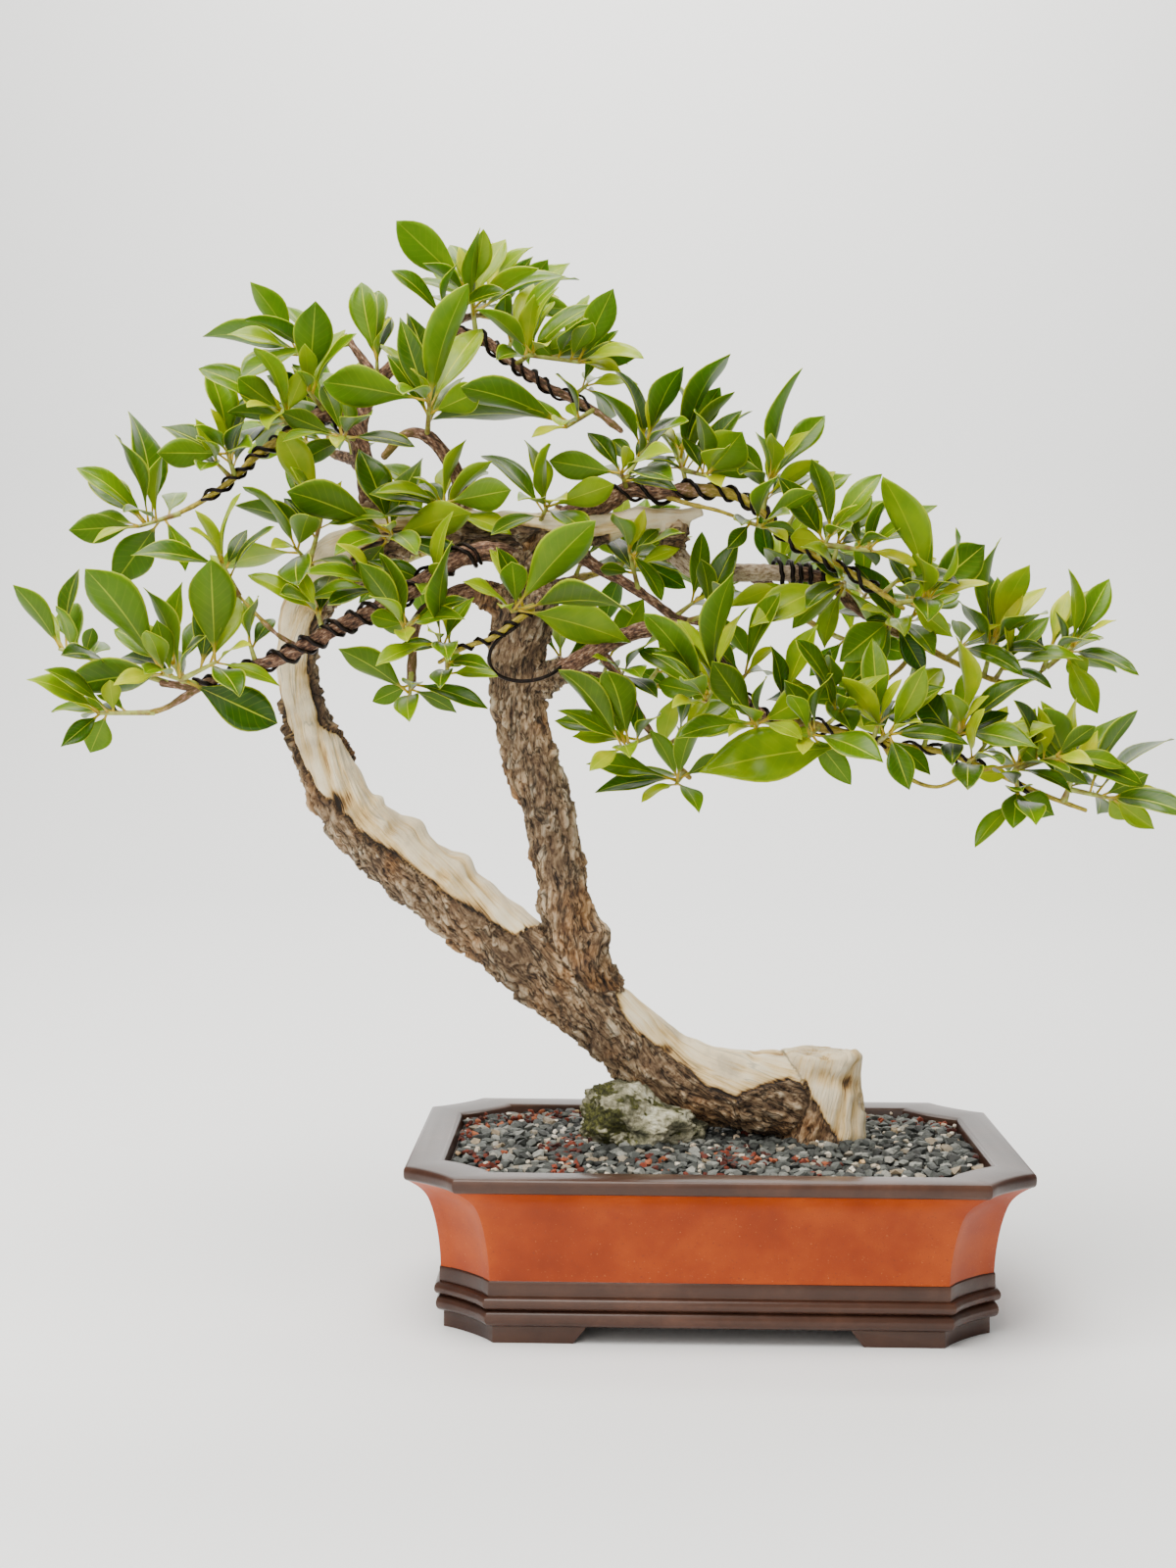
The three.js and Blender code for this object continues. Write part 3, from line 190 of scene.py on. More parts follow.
# Each light's width in metres, its power in watts, its place and what it points at
lights = (
    ("sky_light", 1.5, 82, (-0.45, -0.55, 1.8), (0, 0, 0.3)),
    ("front_light", 1.6, 18, (-0.7, -1.9, 0.9), (0, 0, 0.3)),
    ("wall_light", 2.6, 190, (0, 1.7, 3.0), (0, 3.4, 1.0)),
)
for name, size, power, place, target in lights:
    bpy.ops.object.light_add(type="AREA", location=place)
    light = bpy.context.object
    light.name = name
    light.data.shape = "SQUARE"
    light.data.size = size
    light.data.energy = power
    light.data.color = linear("#fff8f0")[:3]
    light.rotation_mode = "QUATERNION"
    light.rotation_quaternion = (Vector(target) - Vector(place)).to_track_quat("-Z", "Y")
world = bpy.context.scene.world or bpy.data.worlds.new("studio")
bpy.context.scene.world = world
world.use_nodes = True
set_inputs(world.node_tree.nodes["Background"], {"Color": linear("#eeece6"), "Strength": 0.5})


# Pot: a tray of stoneware pressed in a mould, with cut corners, two rolls round its base and a
# broad lip. The body is bare orange clay, and the lip, base and feet are coated with brown slip.
pot_length = pot_high.x - pot_low.x
pot_depth = pot_high.y - pot_low.y
pot_corner = 32 * mm
corner_steps = 6
corner_hollow = 0.19
foot_height = 10 * mm
foot_inset = 22.8 * mm
foot_width = 22 * mm
pot_floor = 22 * mm
rim_inside = 24 * mm
floor_inside = 33 * mm
soil_level = 95.5 * mm
body_foot = 38 * mm
lip_foot = 95 * mm
edge_round = 0.9 * mm
least_edge = math.radians(28)


def roll_stations(bottom, top, inset, bulge, steps=8):
    """A half-round moulding between two heights."""
    middle = (bottom + top) / 2
    half = (top - bottom) / 2
    turns = [math.pi * k / steps for k in range(steps + 1)]
    return [(middle - half * math.cos(a), inset - bulge * math.sin(a)) for a in turns]


def flare_stations(points, steps=3):
    """A smooth curve through stations of the wall."""
    line = [Vector(p) for p in points]
    line = [line[0] * 2 - line[1]] + line + [line[-1] * 2 - line[-2]]
    out = []
    for a, b, c, d in zip(line, line[1:], line[2:], line[3:]):
        for k in range(steps):
            t = k / steps
            bend = (2 * a - 5 * b + 4 * c - d) * t * t
            out.append(0.5 * (2 * b + (c - a) * t + bend + (3 * b - a - 3 * c + d) * t ** 3))
    return [tuple(p) for p in out] + [tuple(points[-1])]


# The wall from its foot up and over the lip: height and inset from the lip's outline, in mm
flare = [(39, 20.9), (48, 20.4), (60, 19), (72, 16.7), (82, 13.6), (88, 9.8), (92.5, 5.2), (94.8, 2.2)]
wall = (
    [(10, 22.8)]
    + roll_stations(10.8, 20.2, 21.3, 3.1)
    + roll_stations(21.0, 28.8, 20.5, 3.3)
    + [(29.2, 20.1), (37.6, 20.3), (38.0, 20.9)]
    + flare_stations(flare)
    + [(95.3, 1.3), (96.2, 0.5), (97.4, 0.1), (99.6, 0), (101.8, 0.1), (102.8, 0.5), (103.5, 1.2)]
    + [(103.9, 2.6), (104, 10), (103.9, 19.4), (103.4, 21.4), (102.2, 22.7), (99, 23.5)]
)
wall = [(z * mm, inset * mm) for z, inset in wall]
wall += [(soil_level, rim_inside), (pot_floor, floor_inside)]


def raise_walls(name, stations):
    """An eight-sided plate drawn up through stations of height and inset, corner by corner."""
    height, inset = stations[0]
    bpy.ops.object.select_all(action="DESELECT")
    bpy.ops.mesh.primitive_plane_add(size=1, location=pot_middle + Vector((0, 0, height)))
    plan = scaled(name, (pot_length - 2 * inset, pot_depth - 2 * inset, 1))
    bpy.ops.object.mode_set(mode="EDIT")
    bpy.ops.mesh.select_all(action="SELECT")
    bpy.ops.mesh.bevel(offset=pot_corner, segments=corner_steps, profile=corner_hollow, affect="VERTICES")
    for (low, old_inset), (high, new_inset) in zip(stations, stations[1:]):
        bpy.ops.mesh.select_mode(type="FACE")
        bpy.ops.mesh.extrude_region_move(TRANSFORM_OT_translate={"value": (0, 0, high - low)})
        step = new_inset - old_inset
        shape = bmesh.from_edit_mesh(plan.data)
        ring = {v.index for f in shape.faces if f.select for v in f.verts}
        for side in (-1, 1):
            for end in (-1, 1):
                select_only(plan, lambda v: v.index in ring and (v.co.x - pot_middle.x) * side > 0
                            and (v.co.y - pot_middle.y) * end > 0, "VERT")
                bpy.ops.transform.translate(value=(-side * step, -end * step, 0))
        select_only(plan, lambda f: all(v.index in ring for v in f.verts))
    bpy.ops.object.mode_set(mode="OBJECT")
    return plan


def reshape(piece, kind, **settings):
    """Gives a mesh a modifier with its settings, and applies it."""
    bpy.context.view_layer.objects.active = piece
    change = piece.modifiers.new("change", kind)
    for name, value in settings.items():
        setattr(change, name, value)
    bpy.ops.object.modifier_apply(modifier="change")


def cut_with(target, cutters, way="DIFFERENCE"):
    """Cuts shapes away from a mesh, or keeps what they share, and removes them."""
    for cutter in cutters:
        bpy.ops.object.select_all(action="DESELECT")
        reshape(target, "BOOLEAN", operation=way, solver="EXACT", object=cutter)
        bpy.data.objects.remove(cutter)


pot = raise_walls("tray_pot", wall)
feet = raise_walls("feet", [(0, foot_inset), (foot_height + mm, foot_inset)])
hollow_inset = foot_inset + foot_width
hollow = raise_walls("hollow", [(-mm, hollow_inset), (foot_height + 2 * mm, hollow_inset)])
gap_long = (174 * mm, 158 * mm)
gap_short = (96 * mm, 84 * mm)
gaps = []
for (low_width, high_width), along_x in ((gap_long, True), (gap_short, False)):
    bpy.ops.mesh.primitive_cube_add(size=1, location=pot_middle + Vector((0, 0, foot_height / 2)))
    across = 2 * pot_length
    gap_size = (low_width, across, foot_height) if along_x else (across, low_width, foot_height)
    gap = scaled("gap", gap_size)
    bpy.ops.object.mode_set(mode="EDIT")
    select_only(gap, lambda f: f.normal.z > 0.9)
    slant = high_width / low_width
    bpy.ops.transform.resize(
        value=(slant, 1, 1) if along_x else (1, slant, 1),
        center_override=pot_middle + Vector((0, 0, foot_height)),
    )
    bpy.ops.mesh.extrude_region_move(TRANSFORM_OT_translate={"value": (0, 0, 2 * mm)})
    select_only(gap, lambda f: f.normal.z < -0.9)
    bpy.ops.mesh.extrude_region_move(TRANSFORM_OT_translate={"value": (0, 0, -2 * mm)})
    bpy.ops.object.mode_set(mode="OBJECT")
    gaps.append(gap)
cut_with(feet, [hollow, *gaps])

drain_radius = 10 * mm
drain_spacing = 150 * mm
drains = []
for side in (-1, 1):
    place = pot_middle + Vector((side * drain_spacing / 2, 0, pot_floor / 2))
    bpy.ops.mesh.primitive_cylinder_add(radius=drain_radius, depth=2 * pot_floor, location=place)
    drains.append(bpy.context.object)
cut_with(pot, drains)

bpy.ops.object.select_all(action="DESELECT")
feet.select_set(True)
pot.select_set(True)
bpy.context.view_layer.objects.active = pot
bpy.ops.object.join()
reshape(pot, "BEVEL", width=edge_round, segments=2, limit_method="ANGLE", angle_limit=least_edge)
bpy.ops.object.transform_apply(location=True, rotation=True, scale=True)
bpy.ops.object.shade_smooth_by_angle(angle=math.radians(40))

# Red stoneware clay, pressed and fired without glaze: a satin skin with fine light and dark grit
red_clay, surface = new_material("fired_red_stoneware")
place = add_node(red_clay, "TexCoord").outputs["Object"]
cloud = add_node(red_clay, "TexNoise", {"Vector": place, "Scale": 14, "Detail": 4, "Roughness": 0.6})
warm = add_node(red_clay, "ValToRGB", {"Fac": cloud}, stops=[(0.3, "#7a2800"), (0.5, "#933500"),
    (0.7, "#ac4800")])
# Grit is about 0.4 mm in the clay and is drawn at 1.2 mm so that it shows
grit = add_node(red_clay, "TexNoise", {"Vector": place, "Scale": 850, "Detail": 2, "Roughness": 0.5})
light_grit = add_node(red_clay, "MapRange", {"Value": grit, "From Min": 0.68, "From Max": 0.8})
dark_grit = add_node(red_clay, "MapRange", {"Value": grit, "From Min": 0.36, "From Max": 0.28})
with_light = add_node(red_clay, "Mix", {0: light_grit, 6: warm, 7: linear("#c4703c")}, data_type="RGBA")
with_dark = add_node(red_clay, "Mix", {0: dark_grit, 6: with_light, 7: linear("#7c3315")},
    data_type="RGBA")
skin = add_node(red_clay, "Bump", {"Height": grit, "Strength": 0.12, "Distance": 0.4 * mm})
set_inputs(surface, {"Base Color": with_dark, "Normal": skin, "Roughness": 0.45,
    "Specular IOR Level": 0.25})

# Brown slip over the same clay, rubbed and fired: purplish brown with a soft shine on its rolls
brown_slip, surface = new_material("brown_slip_on_stoneware")
place = add_node(brown_slip, "TexCoord").outputs["Object"]
cloud = add_node(brown_slip, "TexNoise", {"Vector": place, "Scale": 22, "Detail": 5, "Roughness": 0.65})
tone = add_node(brown_slip, "ValToRGB", {"Fac": cloud}, stops=[(0.3, "#2a1711"), (0.52, "#392218"),
    (0.75, "#503326")])
rubbed = add_node(brown_slip, "NewGeometry").outputs["Pointiness"]
edge = add_node(brown_slip, "MapRange", {"Value": rubbed, "From Min": 0.53, "From Max": 0.62,
    "To Max": 0.5})
worn = add_node(brown_slip, "Mix", {0: edge, 6: tone, 7: linear("#7a5c4c")}, data_type="RGBA")
grain = add_node(brown_slip, "TexNoise", {"Vector": place, "Scale": 600, "Detail": 3})
skin = add_node(brown_slip, "Bump", {"Height": grain, "Strength": 0.15, "Distance": 0.4 * mm})
set_inputs(surface, {"Base Color": worn, "Normal": skin, "Roughness": 0.3, "Coat Weight": 0.14,
    "Coat Roughness": 0.06, "Specular IOR Level": 0.25})

pot.data.materials.clear()
pot.data.materials.append(brown_slip)
pot.data.materials.append(red_clay)
pot_centre = pot_middle + Vector((0, 0, 60 * mm))
for face in pot.data.polygons:
    bare = body_foot < face.center.z - pot_middle.z < lip_foot
    outward = face.normal.dot(face.center - pot_centre) > 0
    face.material_index = 1 if bare and outward and face.normal.z < 0.3 else 0
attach(pot, "root")
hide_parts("pot")


# Soil and gravel: dark grit fills the tray to just under its lip, topped with crushed grey stone of
# 6 to 11 mm. Crumbs of red lava and white pumice lie between, as they were thrown on by hand.
soil_crown = 3 * mm
soil_spread = 1.2 * mm
grit_pitch = 3.2 * mm
rim_gap = 0.4 * mm
stone_room = 104 * mm
tree_skin = BVHTree.FromObject(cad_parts["tree"], bpy.context.evaluated_depsgraph_get())
rock_skin = BVHTree.FromObject(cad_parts["rock"], bpy.context.evaluated_depsgraph_get())


def ground(x, y):
    """Height of the soil under the stones."""
    across = 2 * (x - pot_middle.x) / pot_length
    deep = 2 * (y - pot_middle.y) / pot_depth
    crown = soil_crown * (1 - across ** 2) * (1 - deep ** 2)
    return pot_middle.z + soil_level + crown + soil_spread * noise.noise(Vector((x, y, 0)) * 45)


def inside_rim(x, y, margin):
    """Whether a place on the soil lies inside the eight sides of the rim by a margin."""
    inset = rim_inside + rim_gap + margin
    across = pot_length / 2 - inset - abs(x - pot_middle.x)
    deep = pot_depth / 2 - inset - abs(y - pot_middle.y)
    return across > 0 and deep > 0 and across + deep > pot_corner


def inside_skin(skin, point, margin):
    """Whether a point lies inside a closed skin, or nearer to it than a margin."""
    near, normal, _, distance = skin.find_nearest(point)
    return distance < margin or (point - near).dot(normal) < 0


def read_form(obj):
    """The corners and faces of a mesh, to copy it from, and the object is removed."""
    corners = [v.co.copy() for v in obj.data.vertices]
    faces = [tuple(f.vertices) for f in obj.data.polygons]
    bpy.data.objects.remove(obj)
    return corners, faces


def new_piece(name, corners, faces):
    """A mesh piece from corners and faces."""
    mesh = bpy.data.meshes.new(name)
    mesh.from_pydata(corners, [], faces)
    piece = bpy.data.objects.new(name, mesh)
    bpy.context.scene.collection.objects.link(piece)
    return piece


def give_numbers(piece, name, numbers):
    """A number, or three in a row, for each corner of a mesh, that its material reads."""
    single = len(numbers) == len(piece.data.vertices)
    layer = piece.data.attributes.new(name, "FLOAT" if single else "FLOAT_VECTOR", "POINT")
    layer.data.foreach_set("value" if single else "vector", numbers)


def finish_piece(piece, material, slot, *nodes, smooth=True):
    """A piece takes its material, rides on the tree's one body and stands for CAD nodes."""
    piece.data.materials.clear()
    piece.data.materials.append(material)
    if smooth:
        piece.data.shade_smooth()
    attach(piece, "root")
    if nodes:
        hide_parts(*nodes)


fill = raise_walls("fill", [
    (pot_floor + rim_gap, floor_inside + rim_gap), (soil_level, rim_inside + rim_gap),
    (stone_room, rim_inside + rim_gap),
])
bpy.ops.object.select_all(action="DESELECT")
bpy.ops.mesh.primitive_grid_add(
    x_subdivisions=int(pot_length / grit_pitch), y_subdivisions=int(pot_depth / grit_pitch),
    size=1, location=pot_middle,
)
bed = scaled("grit_bed", (pot_length, pot_depth, 1))
bpy.ops.object.mode_set(mode="EDIT")
bpy.ops.mesh.select_all(action="SELECT")
bpy.ops.mesh.extrude_region_move(TRANSFORM_OT_translate={"value": (0, 0, soil_level)})
bpy.ops.object.mode_set(mode="OBJECT")
for corner in bed.data.vertices:
    if corner.co.z > pot_middle.z + soil_level / 2:
        corner.co.z = ground(corner.co.x, corner.co.y)
cut_with(bed, [fill], "INTERSECT")

# Grit: black-brown, damp in patches
grit, surface = new_material("dark_grit_soil")
place = add_node(grit, "TexCoord").outputs["Object"]
speck = add_node(grit, "TexVoronoi", {"Vector": place, "Scale": 420})
tone = add_node(grit, "ValToRGB", {"Fac": speck}, stops=[(0.1, "#3a322c"), (0.5, "#241f1c"),
    (0.9, "#15120f")])
lumps = add_node(grit, "Bump", {"Height": speck, "Strength": 0.8, "Distance": 1 * mm})
set_inputs(surface, {"Base Color": tone, "Normal": lumps, "Roughness": 0.95})
finish_piece(bed, grit, "gravel_soil", "soil", smooth=False)

stone_forms = []
for seed in range(6):
    bpy.ops.object.select_all(action="DESELECT")
    bpy.ops.mesh.primitive_ico_sphere_add(subdivisions=1, radius=0.5)
    stone = bpy.context.object
    bpy.ops.object.mode_set(mode="EDIT")
    bpy.ops.mesh.select_all(action="SELECT")
    bpy.ops.transform.vertex_random(offset=0.3, seed=seed)
    bpy.ops.mesh.convex_hull()
    bpy.ops.object.mode_set(mode="OBJECT")
    stone_forms.append(read_form(stone))


def scatter(name, pitch, sizes, lift, flatness, patch, material):
    """Stones laid over the soil on a shaken grid, with a number for the tone of each."""
    corners = []
    faces = []
    tones = []
    patch_scale, patch_least, patch_place = patch
    for row in range(int(pot_depth / (pitch * row_share))):
        for column in range(int(pot_length / pitch)):
            x = pot_low.x + (column + 0.5 * (row % 2) + draw.uniform(0.1, 0.9)) * pitch
            y = pot_low.y + (row + draw.uniform(0.1, 0.9)) * pitch * row_share
            size = draw.uniform(*sizes)
            turn = Matrix.Rotation(draw.uniform(0, math.tau), 3, "Z")
            turn = turn @ Matrix.Rotation(draw.gauss(0, 0.35), 3, "X")
            narrow = size * draw.uniform(0.65, 0.95)
            stretch = Matrix.Diagonal((size, narrow, size * flatness * draw.uniform(0.8, 1.2)))
            form, form_faces = stone_forms[draw.randrange(len(stone_forms))]
            tone = draw.random()
            high = draw.uniform(*lift)
            middle = Vector((x, y, ground(x, y) + high))
            patchy = noise.noise(Vector((x, y, patch_place)) * patch_scale)
            if not inside_rim(x, y, size * 0.42) or patchy < patch_least:
                continue
            if inside_skin(tree_skin, middle, 0.25 * size) or inside_skin(rock_skin, middle, 0.25 * size):
                continue
            placed = [middle + turn @ stretch @ c for c in form]
            over = max(c.z for c in placed) - pot_middle.z - stone_room
            if over > 0:
                placed = [c - Vector((0, 0, over)) for c in placed]
            faces += [tuple(k + len(corners) for k in f) for f in form_faces]
            corners += placed
            tones += [tone] * len(placed)
    piece = new_piece(name, corners, faces)
    give_numbers(piece, "tone", tones)
    finish_piece(piece, material, "gravel_soil", smooth=False)


def stone_material(name, roughness, stops):
    """A crushed stone: its tone differs from stone to stone, and its skin is pitted."""
    material, surface = new_material(name)
    tone = add_node(material, "Attribute", attribute_name="tone").outputs["Fac"]
    colour = add_node(material, "ValToRGB", {"Fac": tone}, stops=stops)
    place = add_node(material, "TexCoord").outputs["Object"]
    pits = add_node(material, "TexNoise", {"Vector": place, "Scale": 380, "Detail": 4, "Roughness": 0.65})
    shade = add_node(material, "MapRange", {"Value": pits, "From Min": 0.3, "From Max": 0.7,
        "To Min": 0.62, "To Max": 1.25})
    mottled = add_node(material, "Mix", {0: 1.0, 6: colour, 7: shade}, data_type="RGBA",
        blend_type="MULTIPLY")
    skin = add_node(material, "Bump", {"Height": pits, "Strength": 0.5, "Distance": 0.6 * mm})
    set_inputs(surface, {"Base Color": mottled, "Normal": skin, "Roughness": roughness})
    return material


# Crushed slate-grey basalt, red scoria and white pumice: dry, matt and dusty
basalt = stone_material("crushed_basalt", 0.75, [(0, "#1e2120"), (0.35, "#353937"), (0.7, "#585d5a"),
    (0.9, "#888a84"), (1, "#8a7a60")])
scoria = stone_material("red_scoria", 0.9, [(0, "#2c110b"), (0.4, "#531d10"), (0.8, "#7a3019"),
    (1, "#9c5a38")])
pumice = stone_material("white_pumice", 0.9, [(0, "#a59b88"), (0.5, "#d2cab9"), (0.8, "#e6e0d2"),
    (1, "#b4905c")])
# Layers of stones, in mm: pitch, sizes, lifts over the soil, flatness, where they lie and material.
# Crumbs lie in patches: how many to the metre, the least value of the noise, and its place
row_share = 0.87
everywhere = (1, -2, 0)
layers = {
    "gravel_lower": (6.8, (6, 9), (0.4, 2), 0.62, everywhere, basalt),
    "gravel_upper": (9, (7, 11), (2.6, 4.2), 0.6, everywhere, basalt),
    "lava_crumbs": (7, (3.4, 6.4), (3.2, 5), 0.75, (26, 0.12, 0.3), scoria),
    "pumice_crumbs": (13, (3, 5.4), (3.6, 5), 0.8, (40, 0.12, 0.7), pumice),
}
draw = random.Random(4407)
for name, (pitch, sizes, lift, *others) in layers.items():
    scatter(name, pitch * mm, [size * mm for size in sizes], [high * mm for high in lift], *others)


# Rock: a craggy lump of grey limestone set against the foot of the trunk. Lichen whitens its top
# and moss fills its hollows and its left flank.
def clamp(value):
    """A value kept between 0 and 1."""
    return min(1, max(0, value))


rock_size = Vector((80, 56, 62)) * mm
rock_middle = at(652, 1148, 10)
rock_knobs = 0.1
rock_ripple = 0.07
rock_ledge = 0.06
rock_crags = 0.26
rock_pits = 0.035
moss_depth = 0.022
bpy.ops.object.select_all(action="DESELECT")
bpy.ops.mesh.primitive_ico_sphere_add(subdivisions=7, radius=1)
rock = bpy.context.object
rock.name = "mossy_rock"
moss_cover = []
for corner in rock.data.vertices:
    p = corner.co.copy()
    knob = rock_knobs * math.sin(3.1 * p.x + 2 * p.y) * math.cos(2.7 * p.z - 1)
    ripple = rock_ripple * math.sin(7 * p.x - 5 * p.z)
    ledge = rock_ledge * 2 * math.sin(4 * p.z + p.x)
    crags = rock_crags * (noise.ridged_multi_fractal(p * 1.7, 0.9, 2.1, 6, 1.0, 2.0) - 1.1) * 0.5
    cells = noise.voronoi(p * 6)[0]
    pits = rock_pits * (min(1, (cells[1] - cells[0]) * 3) - 1)
    damp = noise.noise(p * 2.2 + Vector((3, 1, 7))) + 0.5 * noise.noise(p * 6)
    damp += 0.45 * noise.noise(p * 15)
    moss = clamp((damp - 0.2 * p.z - 0.4 * p.x - 0.1 - 5 * min(0, crags)) * 2.4)
    p.z *= 1 - (0.7 if p.x > 0 else 0.16) * p.x if p.z > 0 else 1
    tufts = moss_depth * moss * (1 + 0.7 * noise.noise(p * 28))
    moss_cover.append(moss)
    p *= 1 + knob + ripple + ledge + crags + pits + tufts
    corner.co = rock_middle + Vector((p.x * rock_size.x, p.y * rock_size.y, p.z * rock_size.z)) / 2
give_numbers(rock, "moss", moss_cover)

# Limestone with lichen and moss: chalky grey-white, stained olive and brown in the hollows
limestone, surface = new_material("mossy_limestone")
place = add_node(limestone, "TexCoord").outputs["Object"]
blotch = add_node(limestone, "TexNoise", {"Vector": place, "Scale": 70, "Detail": 6, "Roughness": 0.7})
stone_tone = add_node(limestone, "ValToRGB", {"Fac": blotch}, stops=[(0.34, "#2b2d1f"), (0.44, "#66664f"),
    (0.52, "#939077"), (0.58, "#bcbaa0"), (0.7, "#e2e3d5")])
fine = add_node(limestone, "TexNoise", {"Vector": place, "Scale": 420, "Detail": 4, "Roughness": 0.7})
moss_tone = add_node(limestone, "ValToRGB", {"Fac": fine}, stops=[(0.3, "#17180b"), (0.5, "#3a3c1a"),
    (0.7, "#66682f")])
cover = add_node(limestone, "Attribute", attribute_name="moss").outputs["Fac"]
ragged = add_node(limestone, "Math", {0: cover, 1: fine}, operation="ADD")
edge = add_node(limestone, "MapRange", {"Value": ragged, "From Min": 0.62, "From Max": 1.15})
mossy = add_node(limestone, "Mix", {0: edge, 6: stone_tone, 7: moss_tone}, data_type="RGBA")
skin = add_node(limestone, "Bump", {"Height": fine, "Strength": 0.7, "Distance": 1.2 * mm})
set_inputs(surface, {"Base Color": mossy, "Normal": skin, "Roughness": 0.95})
finish_piece(rock, limestone, "mossy_rock", "rock")


# Trunks and root: one old stem leans left out of its root, rises and arches over, and a second one
# springs from it. Buttonwood, part flaky living bark and part bleached bare wood; built from tubes
# fused into one skin, which is then carved into plates, grooves and knots.

